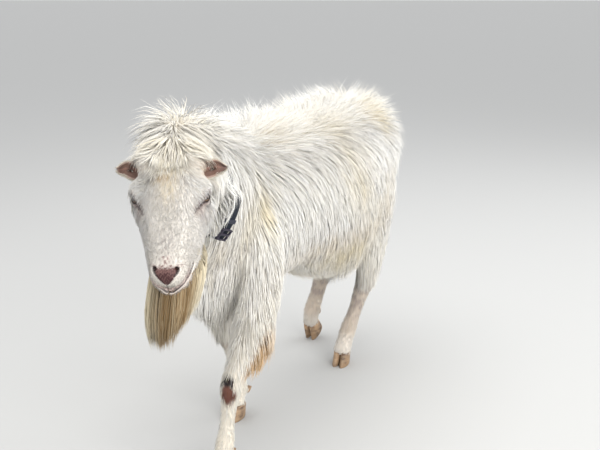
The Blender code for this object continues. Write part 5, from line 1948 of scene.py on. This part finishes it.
@dataclass(frozen=True)
class Ear:
    """One very short ear: a small cupped leaf with folds inside and a pale rim."""

    side: int
    root: Triple = (0.060, 0.050, 0.022)
    length: float = 0.054
    half_width: float = 0.0155
    cup: float = 0.0075
    thickness: float = 0.0030
    sweep: float = math.radians(8.0)
    lift: float = math.radians(6.0)
    face_up: float = math.radians(-40.0)
    rows: int = 46
    columns: int = 40

    def surface(self, u: Array, v: Array) -> Array:
        """Return the middle surface at places along (0 to 1) and across (-1 to 1) the leaf."""
        half = self.half_width * (np.sin(math.pi * (0.18 + 0.80 * u)) ** 0.8 * 0.98 + 0.07)
        scallop = 1 + 0.04 * np.sin(9 * u + self.side) * np.abs(v)
        ridge = (0.0022 * bell(v - 0.22 + 0.25 * u, 0.0, 0.16) * ease(u, 0.15, 0.4) * ease(u, 0.95, 0.6)
                 + 0.0018 * bell(v + 0.38 - 0.15 * u, 0.0, 0.13) * ease(u, 0.2, 0.45) * ease(u, 0.85, 0.6))
        hole = 0.0080 * np.exp(-(((u - 0.52) / 0.10) ** 2 + ((v + 0.05) / 0.30) ** 2))
        curl = 0.0035 * ease(np.abs(v), 0.75, 1.0) * ease(u, 0.30, 0.8)
        deep = self.cup * (1 - v * v) * (1 - 0.5 * u) - 0.004 + hole - ridge - curl
        bow = 0.006 * u ** 2 - 0.007 * ease(u, 0.62, 1.0)
        local = np.stack([u * self.length - 0.014, deep + 0.004 * ease(u, 0.7, 1.0),
                          v * half * scallop + bow], -1)
        local[..., 0] *= self.side
        turn = (Matrix.Rotation(self.face_up, 3, "X") @ Matrix.Rotation(-self.side * self.lift, 3, "Y")
                @ Matrix.Rotation(self.side * self.sweep, 3, "Z"))
        root = np.array(self.root) * np.array((self.side, 1, 1))
        return local @ np.array(turn).T + root

    def build(self, material: Finish, coat: Finish) -> list[Thing]:
        """Build the ear and the short hair on it, and return both."""
        u, v = np.meshgrid(np.linspace(0, 1, self.rows), np.linspace(-1, 1, self.columns), indexing="ij")
        middle = self.surface(u, v)
        normal = unit(np.cross(np.gradient(middle, axis=0), np.gradient(middle, axis=1)))
        if self.side < 0:
            normal = -normal
        rim = np.minimum(ease(1 - np.abs(v), 0.0, 0.12), ease(1 - u, 0.0, 0.08))
        half = self.thickness / 2 * (0.25 + 0.75 * np.sqrt(rim))[..., None]
        inner, back = middle + normal * half, middle - normal * half
        facing = 1.0 if (normal[..., 1].mean() < 0) else -1.0
        if facing < 0:
            inner, back = back, inner
        points = np.concatenate([inner.reshape(-1, 3), back.reshape(-1, 3)])
        quads = grid_faces(self.rows, self.columns)
        n = self.rows * self.columns
        edge = [i * self.columns for i in range(self.rows)]
        edge += [(self.rows - 1) * self.columns + j for j in range(1, self.columns)]
        edge += [i * self.columns + self.columns - 1 for i in range(self.rows - 2, -1, -1)]
        edge += [j for j in range(self.columns - 2, 0, -1)]
        edge = np.array(edge)
        wall = np.stack([edge, np.roll(edge, -1), np.roll(edge, -1) + n, edge + n], -1)
        faces = to_tris(np.concatenate([quads, quads[:, ::-1] + n, wall[:, ::-1]]))
        world = HEAD.outside(points)
        mesh = bmesh.new()
        made = [mesh.verts.new(p) for p in world]
        for face in faces:
            mesh.faces.new([made[k] for k in face])
        bmesh.ops.recalc_face_normals(mesh, faces=mesh.faces)
        mesh.verts.index_update()
        faces = np.array([[vert.index for vert in face.verts] for face in mesh.faces])
        mesh.free()
        tones = self.tones(u.ravel(), v.ravel())
        name = "ear_left" if self.side > 0 else "ear_right"
        leaf = Piece(name + "_leaf", Slot.EAR, world, faces, material, tones, replaced=(name,)).place()
        return [leaf, self.fringe(name, coat)]

    def tones(self, u: Array, v: Array) -> Array:
        """Return the colours of the inner and the outer side, with painted shade in the inner hollows."""
        inner = np.tile((0.185, 0.106, 0.080), (len(u), 1))
        # painted shade in the ear's hollow and in its second fold
        hollow = np.exp(-(((u - 0.52) / 0.11) ** 4 + ((v + 0.05) / 0.32) ** 4))
        second = np.exp(-(((u - 0.40) / 0.09) ** 2 + ((v - 0.50) / 0.22) ** 2))
        shade = np.clip(hollow * 1.1 + second * 0.75, 0, 1)[:, None]
        inner += (np.array((0.045, 0.020, 0.018)) - inner) * shade
        ridge = bell(v - 0.22 + 0.25 * u, 0.0, 0.14)[:, None] * 0.5
        inner += (np.array((0.36, 0.20, 0.155)) - inner) * ridge
        rim = np.maximum(ease(np.abs(v), 0.78, 0.97), ease(u, 0.88, 0.99))[:, None]
        inner += (np.array((0.58, 0.45, 0.38)) - inner) * rim * 0.7
        tip = (ease(u, 0.66, 0.90) * (0.45 + 0.55 * ease(v, -0.2, 0.7)))[:, None]
        tip = tip * (0.85 if self.side > 0 else 0.3)
        inner += (np.array((0.085, 0.055, 0.050)) - inner) * tip
        outer = np.tile((0.74, 0.66, 0.54), (len(u), 1))
        return np.concatenate([inner, outer])

    def fringe(self, name: str, coat: Finish) -> Thing:
        """Build the short white hair on the ear's back, base and edges."""
        rng = np.random.default_rng(90 + self.side)
        n = 1500
        u, v = rng.uniform(0.02, 0.98, n), rng.uniform(-1.0, 1.0, n)
        edge = rng.random(n) < 0.35
        v = np.where(edge, np.sign(v) * rng.uniform(0.86, 1.0, n), v)
        here = self.surface(u, v)
        du = unit(self.surface(np.minimum(u + 0.02, 1.0), v) - self.surface(u - 0.02, v))
        dv = unit(self.surface(u, v + 0.02) - self.surface(u, v - 0.02))
        normal = unit(np.cross(du, dv))
        normal = normal * np.sign(normal[:, 1:2])
        outward = dv * np.sign(v)[:, None]
        facing = np.where(edge[:, None], unit(outward * 0.9 - normal * 0.35), normal)
        lift = np.where(edge, 0.10, 0.28)[:, None]
        spread = np.where(edge, 0.45, 0.10)[:, None]
        way = unit(du + normal * lift + outward * spread + rng.normal(0, 0.12, (n, 3)))
        length = (rng.uniform(0.0035, 0.0075, n) * (1.25 - 0.5 * u))[:, None]
        start = here + normal * self.thickness * 0.3
        spine = np.array([start, start + way * length * 0.5, start + (way + 0.25 * du) * length])
        tone = np.tile((0.80, 0.74, 0.63), (n, 1)) * rng.normal(1.0, 0.06, (n, 1))
        tone = np.where((u < 0.25)[:, None], tone * np.array((0.98, 0.84, 0.68)), tone)
        uvs = np.stack([0.02 + 0.96 * u, 0.51 + 0.48 * v], -1)
        spine = HEAD.outside(spine.reshape(-1, 3)).reshape(spine.shape)
        locks = Locks(spine, rng.uniform(0.0006, 0.0011, n), facing @ HEAD.turn.T,
                      np.stack([tone * 0.9, tone], 1), uvs)
        return locks.piece(name + "_hair", Slot.COAT, coat, rng)


# ---------------------------------------------------------------- feet


@dataclass(frozen=True)
class Foot:
    """One cloven foot: the middle of its coronet, its turn and its heel's lift."""

    name: str
    coronet: Triple
    turn: float
    heel_lift: float = 0.0
    dewclaw: tuple[float, float] = (0.039, 0.026)
    height: float = 0.040
    half_width: float = 0.0128
    half_length: float = 0.0235
    spread: float = 1.34
    forward: float = 0.011
    cleft: float = 0.0024

    def matrix(self) -> Matrix:
        """Return the foot's place."""
        return (Matrix.Translation(self.coronet) @ Matrix.Rotation(self.turn, 4, "Z")
                @ Matrix.Rotation(self.heel_lift, 4, "X"))

    def claw(self, side: int) -> tuple[Array, Array, Array]:
        """Return one claw's points, triangles and tones: wall, rounded coronet and edge, sole."""
        sides, levels = 44, 22
        height = self.height + (0.004 if self.heel_lift else 0.0)
        t = np.linspace(0, 1, levels)[:, None]
        angle = 2 * math.pi * np.arange(sides) / sides
        toe = np.maximum(0.0, -np.sin(angle))
        half_length = self.half_length * (1 + (self.spread - 1) * t)
        wide = self.half_width * (1.0 - 0.30 * toe ** 2)
        flat = self.half_width * 0.80
        inset = (1 - 0.06 * bell(t, 0.0, 0.06) - 0.05 * bell(t, 1.0, 0.05)
                 + 0.010 * np.sin(26 * t) * np.sin(math.pi * t))
        x = np.maximum(np.cos(angle) * wide * inset, -flat) + flat + self.cleft / 2
        y = np.sin(angle) * half_length * inset - self.forward * t
        z = -0.0004 - t * (height - 0.0004) + 0 * angle
        points = np.stack([side * x, y, z], -1).reshape(-1, 3)
        faces = to_tris(grid_faces(levels, sides, True))
        top = fan_faces(sides)
        bottom = (levels - 1) * sides + top[:, ::-1]
        faces = np.concatenate([faces, top, bottom])
        if side < 0:
            faces = faces[:, ::-1]
        points = (np.array(self.matrix().to_3x3()) @ points.T).T + np.array(self.coronet)
        points[:, 2] = np.maximum(points[:, 2], 0.0)
        # darker towards the sole
        dust_and_darker_sole = np.repeat(1.05 - 0.35 * t[:, 0], sides)[:, None] * np.array((1.0, 1.0, 1.0))
        return points, faces, dust_and_darker_sole

    def dew(self, side: int) -> tuple[Array, Array, Array]:
        """Return one dewclaw's points, triangles and tones: a small blunt cone behind the pastern."""
        sides, levels = 20, 9
        t = np.linspace(0, 1, levels)[:, None]
        angle = 2 * math.pi * np.arange(sides) / sides
        radius = 0.0066 * np.sqrt(np.clip(1 - (t * 0.985) ** 2.6, 0, 1))
        points = np.stack([np.cos(angle) * radius, np.sin(angle) * radius, 0.010 - 0.020 * t + 0 * angle], -1)
        points[..., 2] *= -1
        place = (self.matrix() @ Matrix.Translation((side * 0.0115, *self.dewclaw))
                 @ Matrix.Rotation(math.radians(150), 4, "X"))
        flat = points.reshape(-1, 3) @ np.array(place.to_3x3()).T + np.array(place.translation)
        faces = to_tris(grid_faces(levels, sides, True))
        top = fan_faces(sides)
        faces = np.concatenate([faces[:, ::-1], top[:, ::-1], (levels - 1) * sides + top])
        return flat, faces, np.full((len(flat), 3), 0.85)

    def build(self, material: Finish) -> list[Thing]:
        """Build the foot's claws and dewclaws and return them."""
        made = []
        for label, side in (("outer", 1), ("inner", -1)):
            way = side if self.name.endswith("left") else -side
            for kind, maker in (("claw", self.claw), ("dewclaw", self.dew)):
                points, faces, tones = maker(way)
                node = f"{self.name}_{kind}_{label}"
                made.append(Piece(node + "_horn", Slot.HORN, points, outward(points, faces), material, tones,
                                  replaced=(node,)).place())
        return made


FEET = (
    Foot("foreleg_left", (0.079, -0.415, 0.040), math.radians(4)),
    Foot("foreleg_right", (-0.062, -0.148, 0.040), math.radians(-4)),
    Foot("hindleg_left", (0.036, 0.277, 0.040), math.radians(6)),
    Foot("hindleg_right", (-0.133, 0.379, 0.058), math.radians(-8), math.radians(38), (0.043, 0.008)),
)


# ---------------------------------------------------------------- collar


@dataclass
class Strap:
    """The collar's webbing, along the path of the solid strap."""

    about: Triple = (0.060, -0.458, 0.705)
    axis: Triple = (0.42, -0.90, 0.10)
    fine: int = 9
    width: float = 0.025
    thickness: float = 0.0032

    def __post_init__(self) -> None:
        """Read the path off the solid: the middle, the outward way and the way across."""
        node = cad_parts["collar_strap"]
        points = np.array([v.co for v in node.data.vertices]) - SHIFT
        points = np.unique(np.round(points, 6), axis=0)
        axis = unit(np.array(self.axis))
        side = unit(np.cross((0.0, 0.0, 1.0), axis))
        up = np.cross(axis, side)
        off = points - np.array(self.about)
        angle = np.arctan2(off @ up, off @ side)
        order = np.argsort(angle)
        start = int(np.argmax(np.diff(np.append(angle[order], angle[order][0] + 2 * math.pi)))) + 1
        order = np.roll(order, -start)
        self.count = len(points) // 4
        groups = points[order][:4 * self.count].reshape(self.count, 4, 3)
        self.middle = groups.mean(axis=1)
        ahead = unit(np.roll(self.middle, -1, 0) - np.roll(self.middle, 1, 0))
        self.over = np.empty_like(self.middle)
        self.out = np.empty_like(self.middle)
        for i, group in enumerate(groups):
            away = group - self.middle[i]
            forward = away[(away @ axis) > 0].mean(axis=0)
            forward = forward - ahead[i] * (forward @ ahead[i])
            self.over[i] = unit(forward)
            out = np.cross(self.over[i], ahead[i])
            self.out[i] = out if out @ (self.middle[i] - np.array(self.about)) > 0 else -out
        self.up = (self.middle - np.array(self.about)) @ up

    def press(self, points: Array, roots: Array, chance: Array) -> Array:
        """Return hair points pressed under the strap where it lies on the coat."""
        close = np.linalg.norm(points - np.array(self.about), axis=1) < 0.24
        if not close.any():
            return points
        near = points[close]
        index = np.argmin(((near[:, None] - self.middle[None]) ** 2).sum(-1), axis=1)
        off = near - self.middle[index]
        over = (off * self.over[index]).sum(1)
        rise = (off * self.out[index]).sum(1)
        hidden = np.maximum(ease(self.up[index], -0.026, 0.004), ease(self.up[index], -0.099, -0.109))
        draw = 0.5 + 0.5 * np.tanh(0.9 * chance[close])
        start = roots[close]
        first = np.argmin(((start[:, None] - self.middle[None]) ** 2).sum(-1), axis=1)
        ahead = ((start - self.middle[first]) * self.over[first]).sum(1) > 0.0130
        veil = np.maximum(ease(self.up[first], 0.012, 0.046), ease(self.up[first], -0.099, -0.109))
        covered = veil > 0.04 + 0.92 * draw
        fitting = ease(self.up[index], -0.052, -0.066)
        least = 0.0130 - 0.0090 * (1 - draw) ** 1.3 * (1 - fitting) + 0.0040 * fitting
        back = np.where(ahead & ~covered & (np.abs(off).max(axis=1) < 0.05), np.maximum(least - over, 0), 0)
        near = near + self.over[index] * back[:, None]
        over = over + back
        above = covered | ahead
        within = ease(np.abs(over), 0.024, 0.0135) * (np.abs(off).max(axis=1) < 0.06)
        within = within * (1 - ease(hidden, 0.55, 1.0))
        held = np.where(above, np.maximum(rise, 0.0036), np.minimum(rise, -0.0034))
        wanted = rise + (held - rise) * within
        moved = near + self.out[index] * (wanted - rise)[:, None]
        result = points.copy()
        result[close] = moved
        return result

    def build(self, material: Finish) -> Thing:
        """Build the webbing and return it."""
        count = self.count
        wrap = [np.concatenate([a[-2:], a, a[:3]]) for a in (self.middle, self.out, self.over)]
        dense = [catmull_rom(a, self.fine)[2 * self.fine:(2 + count) * self.fine] for a in wrap]
        middle, out, over = dense[0], unit(dense[1]), unit(dense[2])
        high = catmull_rom(np.concatenate([self.up[-2:], self.up, self.up[:3]]), self.fine)
        high = high[2 * self.fine:(2 + count) * self.fine]
        sunk = np.maximum(ease(high, -0.022, 0.006), ease(high, -0.101, -0.111))
        middle = middle - out * (0.0260 * sunk)[:, None]
        corner = np.linspace(-1, 1, 9)
        half, thick = self.width / 2, self.thickness / 2
        upper = [(c * half, thick * (1 - 0.35 * abs(c) ** 8)) for c in corner]
        lower = [(over_strap, -height) for over_strap, height in upper[::-1]]
        profile = np.array([*upper, (half * 1.012, 0.0), *lower, (-half * 1.012, 0.0)])
        ring = (middle[:, None] + over[:, None] * profile[:, 0:1] + out[:, None] * profile[:, 1:2])
        rows, columns = len(middle), len(profile)
        points = ring.reshape(-1, 3)
        faces = outward(points, to_tris(hoop_faces(rows, columns)))
        run = np.concatenate([[0], np.cumsum(np.linalg.norm(np.diff(middle, axis=0), axis=1))])
        lay = np.stack([np.repeat(run, columns), np.tile((profile[:, 0] + half) / self.width, rows),
                        np.ones(len(points))], -1)
        return Piece("collar_webbing_strap", Slot.WEBBING, points, faces, material,
                     extras={"lay": lay}, replaced=("collar_strap",)).place()


def dress_fitting(name: str, material: Finish, edge: float) -> None:
    """Give a solid fitting of the collar its material and rounded edges."""
    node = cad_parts[name]
    for i in range(max(1, len(node.material_slots))):
        if node.material_slots:
            node.material_slots[i].material = material
        else:
            node.data.materials.append(material)
    weld = node.modifiers.new("weld", "WELD")
    weld.merge_threshold = 0.00002
    bevel = node.modifiers.new("rounded", "BEVEL")
    bevel.width = edge
    bevel.segments = 3
    bevel.limit_method = "ANGLE"
    bevel.angle_limit = math.radians(40)


# ---------------------------------------------------------------- studio


@dataclass(frozen=True)
class Studio:
    """The pale floor, the soft lights and the camera of the photograph."""

    eye: Triple = (1.008, -1.635, 1.070)
    azimuth: float = math.radians(30.4)
    dip: float = math.radians(16.4)
    focal: float = 766.0
    frame_width: float = 600.0
    sensor: float = 36.0

    def lay_floor(self, material: Finish) -> None:
        """Lay a wide floor at the height of the soles."""
        size = 1500.0
        corners = np.array([(-size, -size, 0), (size, -size, 0), (size, size, 0), (-size, size, 0)], float)
        mesh = mesh_from("floor", corners, np.array([[0, 1, 2, 3]]))
        mesh.materials.append(material)
        link("floor", mesh)

    def hang_light(self, name: str, at: Place, target: Place, size: float,
                   power: float, colour: Triple) -> None:
        """Hang a square soft light that faces the target."""
        data = bpy.data.lights.new(name, "AREA")
        data.shape = "SQUARE"
        data.size = size
        data.energy = power
        data.color = colour
        lamp = link(name, data)
        lamp.location = at
        lamp.rotation_euler = (Vector(target) - Vector(at)).to_track_quat("-Z", "Y").to_euler()

    def light(self) -> None:
        """Set the world's soft light and hang the lamps."""
        world = bpy.data.worlds.new("studio")
        world.use_nodes = True
        back = next(n for n in world.node_tree.nodes if n.type == "BACKGROUND")
        back.inputs["Color"].default_value = (0.97, 0.98, 1.0, 1.0)
        back.inputs["Strength"].default_value = 1.04
        bpy.context.scene.world = world
        self.hang_light("overhead", (-0.3, 0.1, 3.4), (0, 0.1, 0.5), 2.6, 58.0, (1.0, 0.99, 0.97))
        self.hang_light("side", (3.1, -1.3, 1.6), (0, 0.0, 0.5), 2.8, 98.0, (1.0, 0.99, 0.97))
        self.hang_light("behind", (1.6, 2.8, 2.6), (0, 0.2, 0.5), 2.2, 30.0, (0.98, 0.99, 1.0))
        bpy.context.scene.view_settings.view_transform = "Standard"

    def stand_camera(self) -> None:
        """Stand the camera where the photograph was taken from."""
        data = bpy.data.cameras.new("camera")
        data.sensor_width = self.sensor
        data.lens = self.focal / self.frame_width * self.sensor
        data.clip_start, data.clip_end = 0.05, 4000.0
        camera = link("camera", data)
        camera.location = np.array(self.eye) + SHIFT
        camera.rotation_euler = (math.pi / 2 - self.dip, 0.0, self.azimuth)
        bpy.context.scene.camera = camera


def main() -> None:
    """Build the animal, its coat, its collar and the studio."""
    logging.basicConfig(level=logging.INFO, format="%(relativeCreated)6d ms %(message)s")
    studio = Studio()
    studio.stand_camera()
    studio.light()
    studio.lay_floor(FloorFinish("pale_floor").material())
    coat = CoatFinish("fine_coat").material()
    skin = Skin()
    skin.build(SkinFinish("skin_and_down").material())
    eye = EyeFinish("wet_eye").material()
    for socket in SOCKETS:
        Eyeball(socket).build(eye)
    ear = EarFinish("ear_skin_inner").material()
    for side in (1, -1):
        Ear(side).build(ear, coat)
    horn = HornFinish("growth_ring_horn").material()
    for foot in FEET:
        foot.build(horn)
    strap = Strap()
    strap.build(WebbingFinish("nylon_webbing").material())
    rubber = PlasticFinish("rubber_keeper", (0.02, 0.024, 0.04), 0.5)
    dress_fitting("collar_keeper", rubber.material(), 0.0006)
    plastic = PlasticFinish("moulded_plastic", (0.018, 0.013, 0.03))
    dress_fitting("collar_buckle", plastic.material(), 0.0009)
    # the face's hair has deeper painted shade between its strands
    down = CoatFinish("face_hair", 0.6, 0.2, 3.0, 0.0005, (0.80, 0.76, 0.72))
    Coat(skin, strap).build(coat, down.material())
    Beard().build(CoatFinish("beard_hair_fine", 0.5, 0.3).material())


if __name__ == "__main__":
    main()
